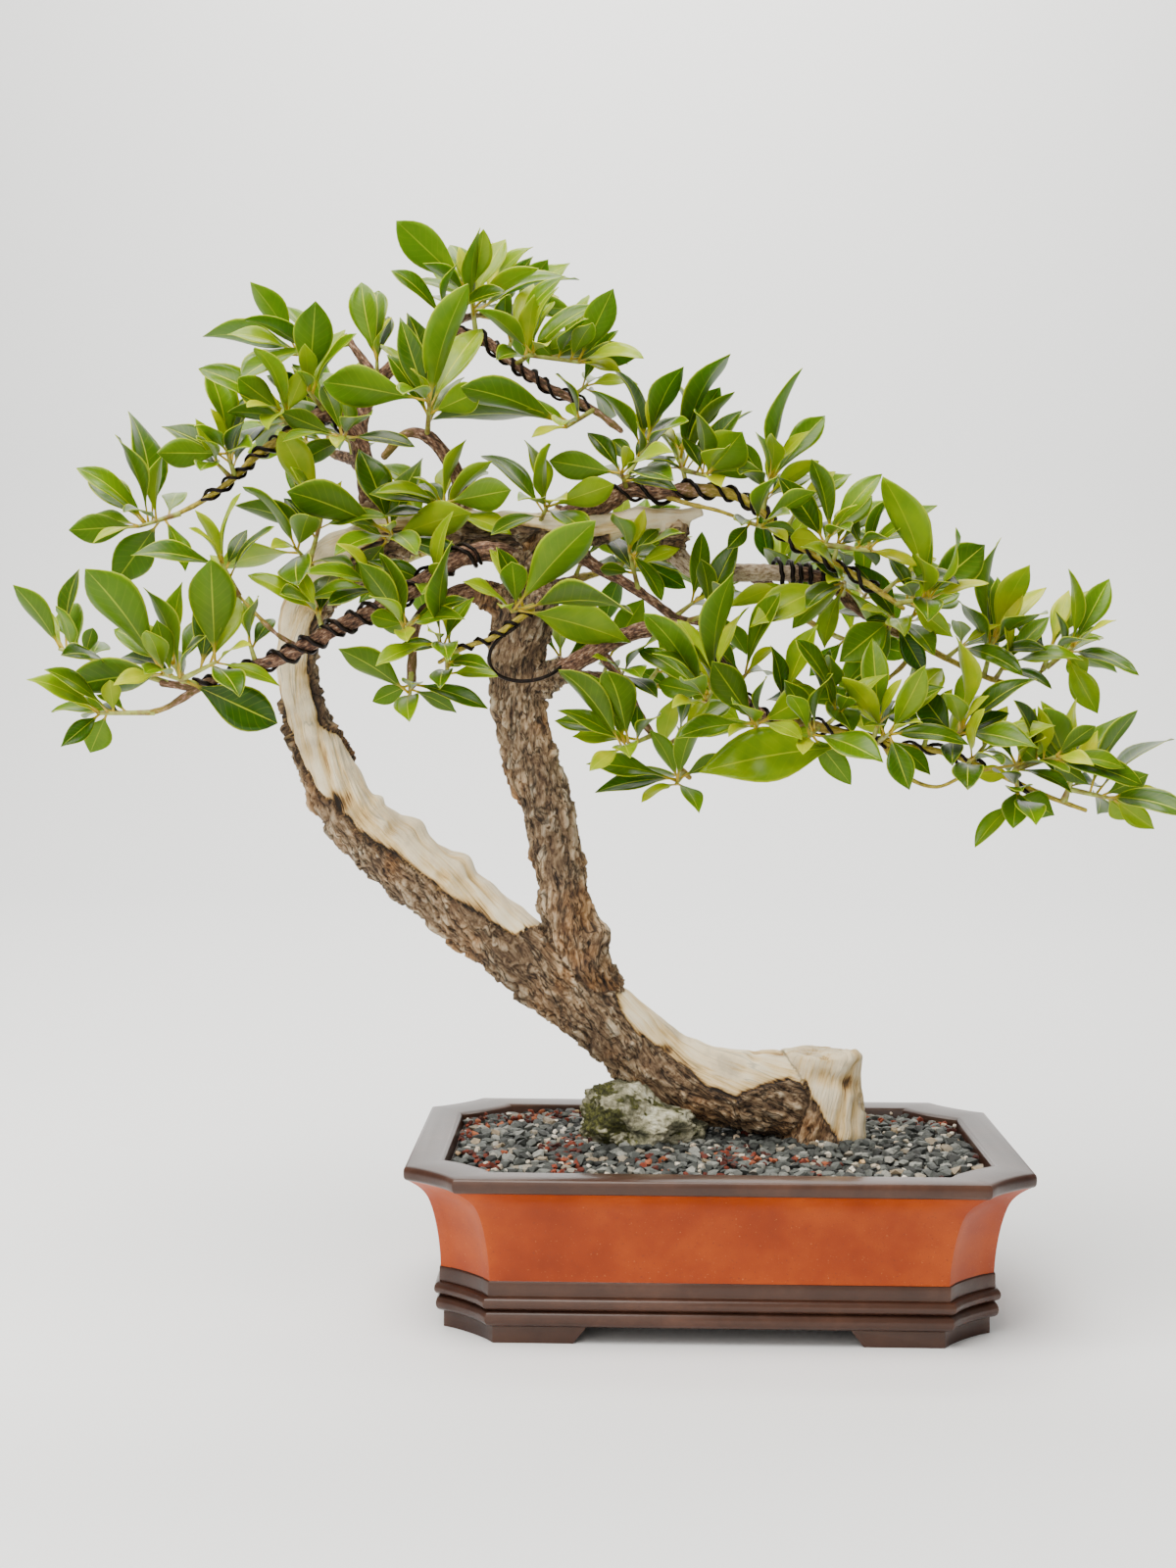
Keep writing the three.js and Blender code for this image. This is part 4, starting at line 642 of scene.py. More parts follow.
# Each limb runs through picture points with a depth and a radius in mm
limbs = {
    "root": [(838, 1262, 26, 20), (838, 1225, 26, 27), (838, 1180, 26, 29), (838, 1120, 26, 28),
        (840, 1073, 26, 26)],
    "trunk_lower": [(850, 1122, 26, 22), (800, 1116, 25, 27), (758, 1112, 23, 27), (718, 1105, 21, 25),
        (688, 1094, 20, 24), (660, 1074, 19, 23), (632, 1050, 17, 22.5), (596, 1022, 14, 23),
        (556, 990, 11, 23), (517, 960, 9, 22.5), (484, 934, 7, 23), (450, 905, 5, 23.5),
        (404, 870, 3, 22), (364, 836, 2, 19.5), (340, 797, 2, 18), (320, 748, 3, 16), (304, 692, 6, 12.5),
        (306, 648, 10, 14), (319, 608, 14, 17.5), (344, 577, 16, 19), (376, 558, 16, 16),
        (420, 546, 16, 12), (470, 540, 14, 11), (540, 540, 10, 11), (600, 540, 6, 10), (650, 531, 2, 8),
        (718, 522, 0, 3)],
    "trunk_upper": [(618, 1020, 14, 14), (590, 975, 8, 17), (572, 900, 3, 16), (560, 835, 0, 16),
        (538, 768, -2, 16), (527, 700, -4, 15), (530, 655, -4, 17), (533, 612, -4, 19)],
    "trunk_neck": [(534, 632, -4, 13), (545, 590, 2, 12), (556, 548, 8, 10)],
    "left_low": [(548, 590, -4, 10), (515, 566, -16, 8), (480, 565, -26, 7.5), (450, 580, -33, 7),
        (400, 615, -40, 6.5), (345, 640, -45, 6), (300, 665, -48, 5.5), (260, 680, -50, 5),
        (230, 690, -52, 4.5), (198, 700, -54, 4), (165, 697, -56, 3)],
    "left_low_fork": [(205, 700, -54, 3.5), (170, 722, -57, 3), (150, 728, -60, 2.4)],
    "left_twig": [(300, 658, -48, 2.4), (280, 645, -52, 2.2), (255, 620, -56, 2), (235, 598, -58, 1.8)],
    "left_up": [(385, 552, 16, 10), (376, 510, 14, 8), (371, 468, 10, 8), (360, 440, 5, 7),
        (333, 423, 2, 6), (300, 441, 0, 5.5), (262, 465, -2, 5), (240, 487, -4, 4.5), (205, 512, -4, 4),
        (178, 526, -4, 3)],
    "top": [(369, 462, 11, 7), (368, 430, 14, 6.5), (384, 392, 18, 6), (405, 371, 20, 5.5),
        (435, 352, 22, 5), (465, 341, 23, 4.5), (490, 345, 22, 4.2), (520, 368, 16, 4),
        (560, 395, 10, 3.7), (605, 418, 4, 3.5), (634, 440, 0, 2.6)],
    "top_stub": [(386, 394, 18, 5), (372, 370, 19, 4), (353, 343, 21, 3)],
    "middle_up": [(470, 545, 14, 8), (468, 490, 8, 6.5), (453, 463, 2, 5.5), (436, 446, 0, 5),
        (415, 442, 2, 4.5), (392, 466, 8, 4)],
    "left_middle": [(520, 618, -6, 9), (480, 603, -14, 6.5), (447, 614, -20, 5.5), (425, 634, -25, 5),
        (421, 665, -27, 4.5), (420, 700, -28, 4)],
    "centre_twig": [(560, 606, -10, 6), (545, 620, -28, 5), (522, 637, -36, 4.5), (500, 652, -41, 4),
        (475, 660, -44, 3.6), (448, 676, -46, 3)],
    "right_low": [(545, 698, -6, 9), (580, 681, -14, 8), (612, 662, -19, 7), (655, 643, -24, 6.5),
        (690, 640, -27, 6), (722, 662, -29, 5.7), (748, 700, -30, 5.6), (775, 730, -30, 5.6),
        (820, 738, -30, 5.4), (862, 748, -30, 5), (905, 759, -30, 4.6), (960, 767, -28, 4.2),
        (1010, 786, -26, 4), (1065, 811, -24, 3.6), (1108, 827, -24, 2.8)],
    "right_low_twig": [(902, 760, -30, 3.5), (922, 790, -36, 3), (955, 803, -40, 2.6),
        (990, 789, -42, 2.4), (1040, 780, -42, 2)],
    "right_hanging": [(612, 664, -19, 4.5), (638, 700, -18, 3.8), (656, 735, -16, 3.3),
        (680, 768, -13, 3), (704, 794, -12, 2.4)],
    "right_inner": [(572, 545, 8, 8), (600, 573, 4, 5.5), (628, 588, 2, 4.6), (662, 611, 0, 4),
        (690, 630, 2, 3.4), (716, 636, 4, 2.6)],
    "right_up": [(545, 540, 9, 9), (580, 525, 4, 8), (612, 517, 0, 7.4), (640, 501, -4, 6.8),
        (675, 502, -8, 6.4), (710, 500, -10, 6.2), (745, 504, -12, 6), (775, 520, -14, 5.6),
        (802, 548, -16, 5.2), (835, 568, -17, 5), (870, 586, -18, 4.5), (898, 604, -20, 4),
        (922, 621, -22, 3)],
    "right_up_twig": [(672, 504, -8, 3), (702, 514, -16, 2.6), (732, 521, -21, 2.3),
        (760, 531, -24, 1.8)],
    "right_middle": [(690, 532, 0, 7), (688, 562, 8, 7.5), (712, 582, 12, 7.5), (760, 584, 14, 7),
        (805, 585, 16, 6.4), (842, 592, 18, 5.2), (872, 618, 22, 4.6), (900, 638, 24, 4.2),
        (940, 658, 24, 3.8), (980, 679, 22, 3.4), (1015, 694, 20, 3), (1042, 698, 20, 2.4),
        (1074, 676, 20, 2)],
    "right_middle_twig": [(936, 656, 24, 3), (920, 680, 15, 2.6), (888, 705, 8, 2.3), (856, 721, 2, 1.8)],
    "back_left": [(372, 480, 12, 7), (362, 470, 45, 5.5), (338, 462, 80, 4.2), (318, 452, 108, 2.6)],
    "back_top": [(455, 342, 23, 5), (462, 330, 52, 4.2), (486, 322, 82, 3.2), (512, 326, 104, 2.2)],
    "back_middle": [(530, 622, 2, 10), (552, 606, 42, 7), (592, 590, 78, 5), (636, 578, 112, 2.8)],
    "back_centre": [(452, 543, 16, 7), (458, 538, 52, 5.5), (440, 560, 88, 4), (418, 572, 112, 2.4)],
    "back_right": [(762, 584, 14, 6), (782, 596, 46, 5), (816, 628, 78, 4), (858, 652, 108, 2.6)],
    "back_low": [(536, 690, 2, 9), (572, 690, 40, 6), (632, 692, 76, 4.4), (688, 704, 102, 2.6)],
}
trunks = ("root", "trunk_lower", "trunk_upper", "trunk_neck")
fine_step = 2 * mm
curve_samples = 200
collar_length = 24 * mm
skin_voxel = 1.45 * mm


def seen_at(point):
    """The picture point at which a point is seen."""
    sight = point - eye
    far = sight.dot(view_ahead)
    across = focal * sight.dot(camera_right) / far
    up = focal * sight.dot(camera_up) / far
    return picture_width / 2 + across, picture_height / 2 - up


def between(stops, place):
    """A value between stops of place and value."""
    for (low, start), (high, end) in zip(stops, stops[1:]):
        if place <= high:
            return start + (end - start) * max(0, (place - low) / (high - low))
    return stops[-1][1]


def limb_stations(path, step):
    """Stations along a limb: centre, tangent, two cross directions, radius, distance and place."""
    points = [at(u, v, depth) for u, v, depth, _ in path]
    radii = [(index, radius * mm) for index, (_, _, _, radius) in enumerate(path)]
    ends = [points[0] * 2 - points[1]] + points + [points[-1] * 2 - points[-2]]

    def curve(place):
        span = min(int(place), len(points) - 2)
        a, b, c, d = ends[span:span + 4]
        before, own, after = [math.sqrt((q - p).length) for p, q in ((a, b), (b, c), (c, d))]
        leave = ((b - a) / before - (c - a) / (before + own) + (c - b) / own) * own
        reach = ((c - b) / own - (d - b) / (own + after) + (d - c) / after) * own
        t = place - span
        return (b + leave * t + (c * 3 - b * 3 - leave * 2 - reach) * t ** 2
                + (b * 2 - c * 2 + leave + reach) * t ** 3)

    last = len(points) - 1
    samples = [curve(k * last / curve_samples) for k in range(curve_samples + 1)]
    runs = [(0, 0)]
    for k, (p, q) in enumerate(zip(samples, samples[1:])):
        runs.append((runs[-1][0] + (q - p).length, (k + 1) * last / curve_samples))
    count = max(2, round(runs[-1][0] / step))
    stations = []
    normal = None
    for k in range(count + 1):
        run = runs[-1][0] * k / count
        place = between(runs, run)
        tangent = (curve(min(last, place + 0.001)) - curve(max(0, place - 0.001))).normalized()
        if normal is None:
            normal = Vector((0, 1, 0)).cross(tangent)
        normal = (normal - tangent * normal.dot(tangent)).normalized()
        side = tangent.cross(normal)
        stations.append((curve(place), tangent, normal, side, between(radii, place), run, place))
    return stations


def draw_tubes(name, lines, sides):
    """Round tubes along lines of points and radii, as one mesh."""
    bpy.ops.object.select_all(action="DESELECT")
    bpy.ops.curve.primitive_nurbs_path_add(location=(0, 0, 0))
    tubes = bpy.context.object
    tubes.name = name
    tubes.data.splines.clear()
    for line in lines:
        spline = tubes.data.splines.new("POLY")
        spline.points.add(len(line) - 1)
        for spot, (point, radius) in zip(spline.points, line):
            spot.co = (*point, 1)
            spot.radius = radius / mm
    tubes.data.bevel_depth = mm
    tubes.data.bevel_resolution = sides // 2 - 2
    tubes.data.use_fill_caps = True
    bpy.ops.object.convert(target="MESH")
    return bpy.context.object


limb_lines = {name: limb_stations(path, fine_step) for name, path in limbs.items()}
places = [(name, station) for name, stations in limb_lines.items() for station in stations]


def place_tree(names):
    """A search tree of the stations of some limbs."""
    tree = KDTree(len(places))
    for index, (name, station) in enumerate(places):
        if name in names:
            tree.insert(station[0], index)
    tree.balance()
    return tree


def straighten(tree, point):
    """The station a point of the skin belongs to, and its offset from the middle of the limb."""
    index = min(tree.find_n(point, 14), key=lambda hit: hit[2] - places[hit[1]][1][4])[1]
    name, station = places[index]
    offset = point - station[0]
    ahead = offset.dot(station[1])
    return name, station, offset - station[1] * ahead, station[5] + ahead


tubes = [[(s[0], s[4]) for s in limb_lines[name]] for name in trunks]
trunk_places = place_tree(trunks)
for name, stations in limb_lines.items():
    foot = stations[0][0]
    carrier = straighten(trunk_places, foot)
    if name not in trunks and carrier[2].length < carrier[1][4]:
        collar = [s for s in stations if s[5] < collar_length]
        tubes.append([(s[0], s[4] * (1.2 - 0.4 * s[5] / collar_length)) for s in collar])
trunk = draw_tubes("trunks_and_root", tubes, 16)
reshape(trunk, "REMESH", mode="VOXEL", voxel_size=skin_voxel)
reshape(trunk, "SMOOTH", iterations=4)

# The living bark runs along the old stem as a band that wanders round it: at each point of the
# limb the middle and the half of the band, in degrees round from the viewer's side
live_band = [
    (-80, 95), (-80, 95), (-70, 95), (-70, 95), (-60, 95), (-50, 95), (-40, 100), (-20, 180),
    (-20, 180), (-90, 102), (-90, 97), (-92, 90), (-95, 89), (-110, 96), (-136, 97), (-190, 138),
    (-237, 88), (-240, 95), (-250, 85), (-260, 80), (-270, 90), (-270, 110), (-270, 120),
    (-270, 90), (-270, 60), (-270, 30), (-270, -90),
]
band_middle = [(k, middle) for k, (middle, _) in enumerate(live_band)]
band_half = [(k, half) for k, (_, half) in enumerate(live_band)]
# Round the root the bark lies below a line that is seen from the front
root_from = 622
root_line = [
    (622, 1012), (648, 1048), (672, 1070), (700, 1094), (724, 1112), (752, 1121), (773, 1112),
    (806, 1100), (822, 1110), (828, 1124), (840, 1143), (858, 1168),
]
ragged_edge = 4.5 * mm
collar_rise = 4 * mm
bark_rise = 1.2 * mm
bark_lip = 2.2 * mm
# How far from the bark's edge the bare wood is darkened in patches
near_bark_reach = 11 * mm
# Where the bark ends it stands up in a lip, drops beyond it and has a dark seam
edge_width = 0.8 * mm
lip_inside = 2 * mm
lip_half = 2.5 * mm
drop_outside = 0.4 * mm
drop_half = 1.6 * mm
seam_outside = 0.2 * mm
seam_half = 3.2 * mm
# The carving fades out in the soil: its height in the pot, and how far it takes
fade_from = 90 * mm
fade_height = 12 * mm
bark_plate = 2.9 * mm
groove_depth = 2.1 * mm
twist = 0.35
twist_length = 40 * mm
lobe_rise = 2.2 * mm
# How far flakes, lumps, fibres and dents rise, in mm
flake_rise = 1.2
lump_rise = 2.2
fibre_rise = 0.3
dent_rise = 2.1
# Swings of the wood's noise to the metre, across the grain and along it
fissure_swings = (120, 22)
flake_swings = (330, 95)
groove_swings = (150, 12)
fibre_swings = (520, 40)
# The grain is bent twice, coarsely and finely: swings to the metre, and reach in mm
bends = ((60, 5), (190, 2))
# The width and the length of a bark plate, in mm
plate_across = 4.8
plate_along = 17
# The width in mm of one picture point at the tree
point_width = 0.62
# Knots stand out and hollows are sunk, with painted shade in them: picture point, radius and height in mm
knots = (
    (610, 955, 13, 8), (596, 985, 9, 3), (520, 598, 9, 5), (548, 830, 9, 2.5), (317, 742, 7, 2.5),
    (360, 590, 9, 3), (680, 1072, 5, -3), (836, 1099, 7, -1.5), (848, 1101, 8, -2.5),
    (861, 1103, 8, -2.5), (873, 1108, 7, -2.5), (866, 1080, 7, 4), (874, 1078, 5, 3),
    (864, 1160, 12, 4), (452, 893, 6, -3), (399, 846, 6, -2.5), (345, 600, 6, -3), (335, 735, 6, -2.5),
    (770, 1078, 6, -2), (500, 946, 5, 2.5), (424, 840, 12, 4.5), (476, 877, 12, 5), (388, 815, 6, 3.5),
    (536, 725, 7, 2), (584, 925, 8, 2.5), (530, 905, 7, 2.5), (348, 817, 9, -3.5),
)


def living(name, station, offset, point):
    """How far inside the living bark a point lies, in metres."""
    _, tangent, normal, side, radius, run, place = station
    grain = Vector((offset.dot(normal) * 55, offset.dot(side) * 55, run * 26))
    ragged = ragged_edge * (noise.noise(grain) + 0.5 * noise.noise(grain * 4))
    if offset.length > radius + collar_rise:
        return radius
    u, v = seen_at(point)
    if u > root_from and name in ("root", "trunk_lower"):
        if u > root_line[-1][0]:
            return -radius
        return (v - between(root_line, u)) * point_width * mm + ragged
    if name != "trunk_lower":
        return radius
    front = eye - station[0]
    front = (front - tangent * front.dot(tangent)).normalized()
    turn = math.degrees(math.atan2(offset.dot(tangent.cross(front)), offset.dot(front)))
    away = abs((turn - between(band_middle, place) + 180) % 360 - 180)
    half = between(band_half, place)
    if half >= 180:
        return radius
    return math.radians(half - away) * radius + ragged


def along_grain(x, y, z, swings):
    """Noise drawn out along the grain."""
    across, along = swings
    return noise.noise(Vector((x * across, y * across, z * along)))


# The vector noise starts from a seed, or else it would differ from run to run
noise.seed_set(12)
skin = [(v.co.copy(), v.normal.copy()) for v in trunk.data.vertices]
live_numbers = []
depth_numbers = []
grain_numbers = []
for corner, (point, normal) in zip(trunk.data.vertices, skin):
    name, station, offset, run = straighten(trunk_places, point)
    inside = living(name, station, offset, point)
    live = clamp(0.5 + inside / edge_width)
    turn = twist * run / twist_length
    x = offset.dot(station[2]) * math.cos(turn) + offset.dot(station[3]) * math.sin(turn)
    y = offset.dot(station[3]) * math.cos(turn) - offset.dot(station[2]) * math.sin(turn)
    grain = Vector((x, y, run + trunks.index(name)))
    warped = grain
    for swings, reach in bends:
        warped = warped + noise.noise_vector(grain * swings) * reach * mm
    plates = Vector((warped.x / plate_across, warped.y / plate_across, warped.z / plate_along)) / mm
    cells = noise.voronoi(plates)
    seed = cells[1][0]
    away = plates - seed
    slope = away.dot(noise.noise_vector(seed * 7.3)) * 1.6
    plate = min(1, (cells[0][1] - cells[0][0]) * 5) * (0.6 + 0.4 * noise.cell(seed * 3.7) + slope)
    fissure = min(1, abs(along_grain(*warped, fissure_swings)) / 0.1)
    flaky = along_grain(*warped, flake_swings)
    lumpy = noise.noise(warped * 62)
    bark = bark_plate * (plate * fissure - 0.5) + (flake_rise * flaky + lump_rise * lumpy) * mm
    lip = bark_lip * max(0, 1 - abs(inside - lip_inside) / lip_half)
    lip -= bark_lip * max(0, 1 - abs(inside + drop_outside) / drop_half)
    lobes = lobe_rise * noise.noise(Vector((x, y, grain.z * 0.35)) * 48)
    groove = along_grain(x, y, grain.z, groove_swings)
    fibre = along_grain(x, y, grain.z, fibre_swings)
    dent = noise.noise(point * 75)
    bare = -groove_depth * max(0, groove * 1.6) + (fibre_rise * fibre + dent_rise * dent) * mm
    shift = live * (bark_rise + bark) + lip + (1 - live) * bare + lobes
    u, v = seen_at(point)
    hollow_shade = 0
    if normal.y < 0.4:
        for knot_u, knot_v, radius, height in knots:
            near = math.hypot(u - knot_u, v - knot_v) * point_width / radius
            if near < 1:
                shift += height * mm * (1 - near ** 2) ** 2
                # Painted shade: the deeper a hollow, the darker the bare wood's tone in it
                hollow_shade += max(0, -height / 8) * (1 - near ** 2)
    fade = clamp((point.z - pot_middle.z - fade_from) / fade_height)
    corner.co = point + normal * shift * (0.4 + 0.6 * fade)
    live_numbers.append(live)
    # Tones from 0, dark, to 1, pale
    seam = min(1, abs(inside + seam_outside) / seam_half)
    plate_tone = clamp(0.15 + plate * fissure * (0.85 + 0.4 * flaky))
    # Bare wood is darker in patches near the bark's edge
    near_bark_darkening = max(0, 1 + inside / near_bark_reach) * max(0, 0.5 + 1.6 * noise.noise(grain * 40))
    # The bare wood's tone is darkened by painted shade in sunk hollows
    bare_tone = 0.62 - 0.4 * groove + 0.2 * dent - 0.7 * hollow_shade - 0.34 * near_bark_darkening
    depth_numbers.append(seam * (plate_tone if live > 0.5 else max(0, bare_tone)))
    grain_numbers += [grain.x, grain.y, grain.z]
give_numbers(trunk, "live", live_numbers)
give_numbers(trunk, "relief", depth_numbers)
give_numbers(trunk, "grain", grain_numbers)


def thin_lines(pattern, level, reach, darkest):
    """Dark lines in the wood where a noise passes a level, from their middle to their edge."""
    side = add_node(wood, "Math", {0: pattern, 1: level}, operation="SUBTRACT")
    near = add_node(wood, "Math", {0: side}, operation="ABSOLUTE")
    return add_node(wood, "MapRange", {"Value": near, "From Min": reach[0], "From Max": reach[1],
        "To Min": darkest, "To Max": 1.0})


# Buttonwood: flaky bark in tan and grey plates with dark brown between them, and bare wood
# bleached to cream, with silver-grey weather lines along its grain
wood, surface = new_material("buttonwood_bark_and_bare_wood")
grain = add_node(wood, "Attribute", attribute_name="grain").outputs["Vector"]
bent = add_node(wood, "TexNoise", {"Vector": grain, "Scale": 90, "Detail": 2})
bend = add_node(wood, "VectorMath", {0: bent.outputs["Color"], 1: (0.004, 0.004, 0.008), 2: grain},
    operation="MULTIPLY_ADD")
along = add_node(wood, "Mapping", {"Vector": bend, "Scale": (1, 1, 0.24)})
flakes = add_node(wood, "TexVoronoi", {"Vector": along, "Scale": 300})
edges = add_node(wood, "TexVoronoi", {"Vector": along, "Scale": 300}, feature="DISTANCE_TO_EDGE")
rough = add_node(wood, "TexNoise", {"Vector": along, "Scale": 300, "Detail": 7, "Roughness": 0.75,
    "Distortion": 2.0})
patches = add_node(wood, "TexNoise", {"Vector": grain, "Scale": 26, "Detail": 3, "Roughness": 0.6})
relief = add_node(wood, "Attribute", attribute_name="relief").outputs["Fac"]
flake_away = add_node(wood, "VectorMath", {0: along, 1: flakes.outputs["Position"]}, operation="SUBTRACT")
flake_lean = add_node(wood, "VectorMath", {0: flakes.outputs["Color"], 1: (0.5, 0.5, 0.5)},
    operation="SUBTRACT")
flake_tilt = add_node(wood, "VectorMath", {0: flake_away, 1: flake_lean}, operation="DOT_PRODUCT")
flake_parts = add_node(wood, "SeparateColor", {"Color": flakes.outputs["Color"]})
flake_level = add_node(wood, "Math", {0: flake_parts, 1: 0.5}, operation="MULTIPLY")
flake_height = add_node(wood, "Math", {0: flake_tilt, 1: 700.0, 2: flake_level}, operation="MULTIPLY_ADD")
flake_edge = add_node(wood, "MapRange", {"Value": edges, "From Max": 0.12})
flake_height = add_node(wood, "Math", {0: flake_height, 1: flake_edge}, operation="MULTIPLY")
height = add_node(wood, "Math", {0: relief, 1: 0.65, 2: 0.12}, operation="MULTIPLY_ADD")
height = add_node(wood, "Math", {0: flake_height, 1: 0.12, 2: height}, operation="MULTIPLY_ADD")
height = add_node(wood, "Math", {0: rough, 1: 1.9, 2: height}, operation="MULTIPLY_ADD")
bark_scale = add_node(wood, "MapRange", {"Value": height, "From Min": 0.8, "From Max": 1.85})
bark_tone = add_node(wood, "ValToRGB", {"Fac": bark_scale}, stops=[(0.0, "#120c08"), (0.18, "#3a2b1f"),
    (0.34, "#6b543e"), (0.52, "#8f7658"), (0.72, "#b39a79"), (1, "#d6c6a9")])
grey = add_node(wood, "ValToRGB", {"Fac": patches}, stops=[(0.36, "#aaa29c"), (0.5, "#ffffff"),
    (0.66, "#eac596")])
crack_noise = add_node(wood, "TexNoise", {"Vector": along, "Scale": 120, "Detail": 3, "Roughness": 0.6,
    "Distortion": 0.6})
crack = thin_lines(crack_noise, 0.5, (0.004, 0.035), 0.22)
bark_colour = add_node(wood, "Mix", {0: 0.8, 6: bark_tone, 7: grey}, data_type="RGBA",
    blend_type="MULTIPLY")
bark_cracked = add_node(wood, "Mix", {0: 1.0, 6: bark_colour, 7: crack}, data_type="RGBA",
    blend_type="MULTIPLY")
fibres = add_node(wood, "Mapping", {"Vector": grain, "Scale": (1, 1, 0.06)})
lines = add_node(wood, "TexNoise", {"Vector": fibres, "Scale": 650, "Detail": 5, "Roughness": 0.65})
# The relief numbers bring in the painted shade of the sunk hollows
bare_height = add_node(wood, "Math", {0: lines, 1: relief}, operation="ADD")
bare_scale = add_node(wood, "MapRange", {"Value": bare_height, "From Min": 0.6, "From Max": 1.25})
bare_tone = add_node(wood, "ValToRGB", {"Fac": bare_scale}, stops=[(0.0, "#20160d"), (0.16, "#7d6038"),
    (0.26, "#b08a55"), (0.42, "#dfc084"), (0.65, "#f5dca8"), (0.9, "#fff1cf")])
split_noise = add_node(wood, "TexNoise", {"Vector": fibres, "Scale": 95, "Detail": 2})
split = thin_lines(split_noise, 0.52, (0.002, 0.012), 0.65)
weather = add_node(wood, "TexNoise", {"Vector": grain, "Scale": 34, "Detail": 4, "Roughness": 0.6})
weathered = add_node(wood, "ValToRGB", {"Fac": weather}, stops=[(0.34, "#b1a89c"), (0.48, "#f2ebdc"),
    (0.58, "#ffffff")])
bare_worn = add_node(wood, "Mix", {0: 0.6, 6: bare_tone, 7: weathered}, data_type="RGBA",
    blend_type="MULTIPLY")
bare_split = add_node(wood, "Mix", {0: 1.0, 6: bare_worn, 7: split}, data_type="RGBA",
    blend_type="MULTIPLY")
live = add_node(wood, "Attribute", attribute_name="live").outputs["Fac"]
mixed = add_node(wood, "Mix", {0: live, 6: bare_split, 7: bark_cracked}, data_type="RGBA")
bark_height = add_node(wood, "Math", {0: flake_height, 1: 0.25, 2: rough}, operation="MULTIPLY_ADD")
bark_height = add_node(wood, "Math", {0: crack, 1: 0.6, 2: bark_height}, operation="MULTIPLY_ADD")
skin_height = add_node(wood, "Mix", {0: live, 2: lines, 3: bark_height})
skin_bump = add_node(wood, "Bump", {"Height": skin_height, "Strength": 1.0, "Distance": 2 * mm})
dull = add_node(wood, "MapRange", {"Value": live, "To Min": 0.62, "To Max": 0.9})
set_inputs(surface, {"Base Color": mixed, "Normal": skin_bump, "Roughness": dull})
finish_piece(trunk, wood, "bark_and_deadwood", "tree")


# Branches: the older ones in rough brown bark, turning smooth and yellow-brown towards their young
# ends, with a ring at each old leaf scar. Round tubes drawn along the limbs.
branch_step = 2.6 * mm
knuckle_spacing = 21 * mm
# A leaf scar's rise as a share of the radius, and its half length as a share of the spacing
knuckle_rise = 0.13
knuckle_half = 0.11
# A branch's end is rounded off: how far on, and how thick, as shares of its last radius
tip_rounding = ((0.5, 0.7), (0.7, 0.3))
gnarl_swings = (420, 190)
# How old each branch looks at its foot and at its end, from 0 for new to 1 for old, and the share
# of its length at which it turns from one to the other
ages = {
    "left_low": (1, 0.75, 0.7), "left_low_fork": (0.7, 0.5, 0.5), "left_twig": (0.7, 0.3, 0.5),
    "left_up": (0.95, 0.1, 0.6), "top": (0.95, 0.7, 0.8), "top_stub": (0.9, 0.8, 0.5),
    "middle_up": (1, 0.6, 0.7), "left_middle": (1, 0.7, 0.6), "centre_twig": (0.4, 0.05, 0.1),
    "right_low": (0.95, 0.1, 0.58), "right_low_twig": (0.4, 0.1, 0.3),
    "right_hanging": (0.8, 0.5, 0.6), "right_inner": (0.9, 0.8, 0.6), "right_up": (0.95, 0.1, 0.45),
    "right_up_twig": (0.4, 0.3, 0.5), "right_middle": (1, 0.4, 0.6), "right_middle_twig": (0.5, 0.2, 0.5),
}
back_age = (0.9, 0.4, 0.6)
turning_share = 0.25
# The low right branch starts in pale, nearly bare wood up to this point of its limb
pale_until = 4.3
branch_names = [name for name in limbs if name not in trunks]


def age_at(name, place):
    """How old a branch looks at a place along it."""
    start, end, turn = ages.get(name, back_age)
    passed = (place / (len(limbs[name]) - 1) - turn) / turning_share + 0.5
    return start + (end - start) * clamp(passed)


def slimness(name, place):
    """The share of a branch's packed thickness that its wood has, less where it is young."""
    return 0.42 + 0.4 * age_at(name, place)


lines = []
for index, name in enumerate(branch_names):
    stations = limb_stations(limbs[name], branch_step)
    line = []
    for centre, _, _, _, radius, run, place in stations:
        radius *= slimness(name, place)
        wave = (run / knuckle_spacing + 0.37 * index) % 1
        knuckle = knuckle_rise * max(0, 1 - abs(wave - 0.5) / knuckle_half)
        lumpy = 0.09 * noise.noise(Vector((run * 60, index, 0)))
        lumpy += 0.05 * noise.noise(Vector((run * 220, index, 5)))
        line.append((centre, radius * (1 + knuckle + lumpy)))
    end, end_radius = line[-1]
    for reach, share in tip_rounding:
        line.append((end + stations[-1][1] * end_radius * reach, end_radius * share))
    lines.append(line)
branches = draw_tubes("branches", lines, 12)
branch_places = place_tree(branch_names)
age_numbers = []
pale_numbers = []
grain_numbers = []
for corner in branches.data.vertices:
    point = corner.co.copy()
    name, station, offset, run = straighten(branch_places, point)
    age = age_at(name, station[6])
    grain = Vector((offset.dot(station[2]), offset.dot(station[3]), run + branch_names.index(name)))
    out = offset.normalized()
    gnarl = along_grain(*grain, gnarl_swings)
    corner.co = point + out * age * (0.5 * gnarl + 0.9 * noise.noise(grain * 110)) * mm
    pale_numbers.append(clamp((pale_until - station[6]) * 3) if name == "right_middle" else 0)
    age_numbers.append(age)
    grain_numbers += [grain.x, grain.y, grain.z]
give_numbers(branches, "age", age_numbers)
give_numbers(branches, "pale", pale_numbers)
give_numbers(branches, "grain", grain_numbers)

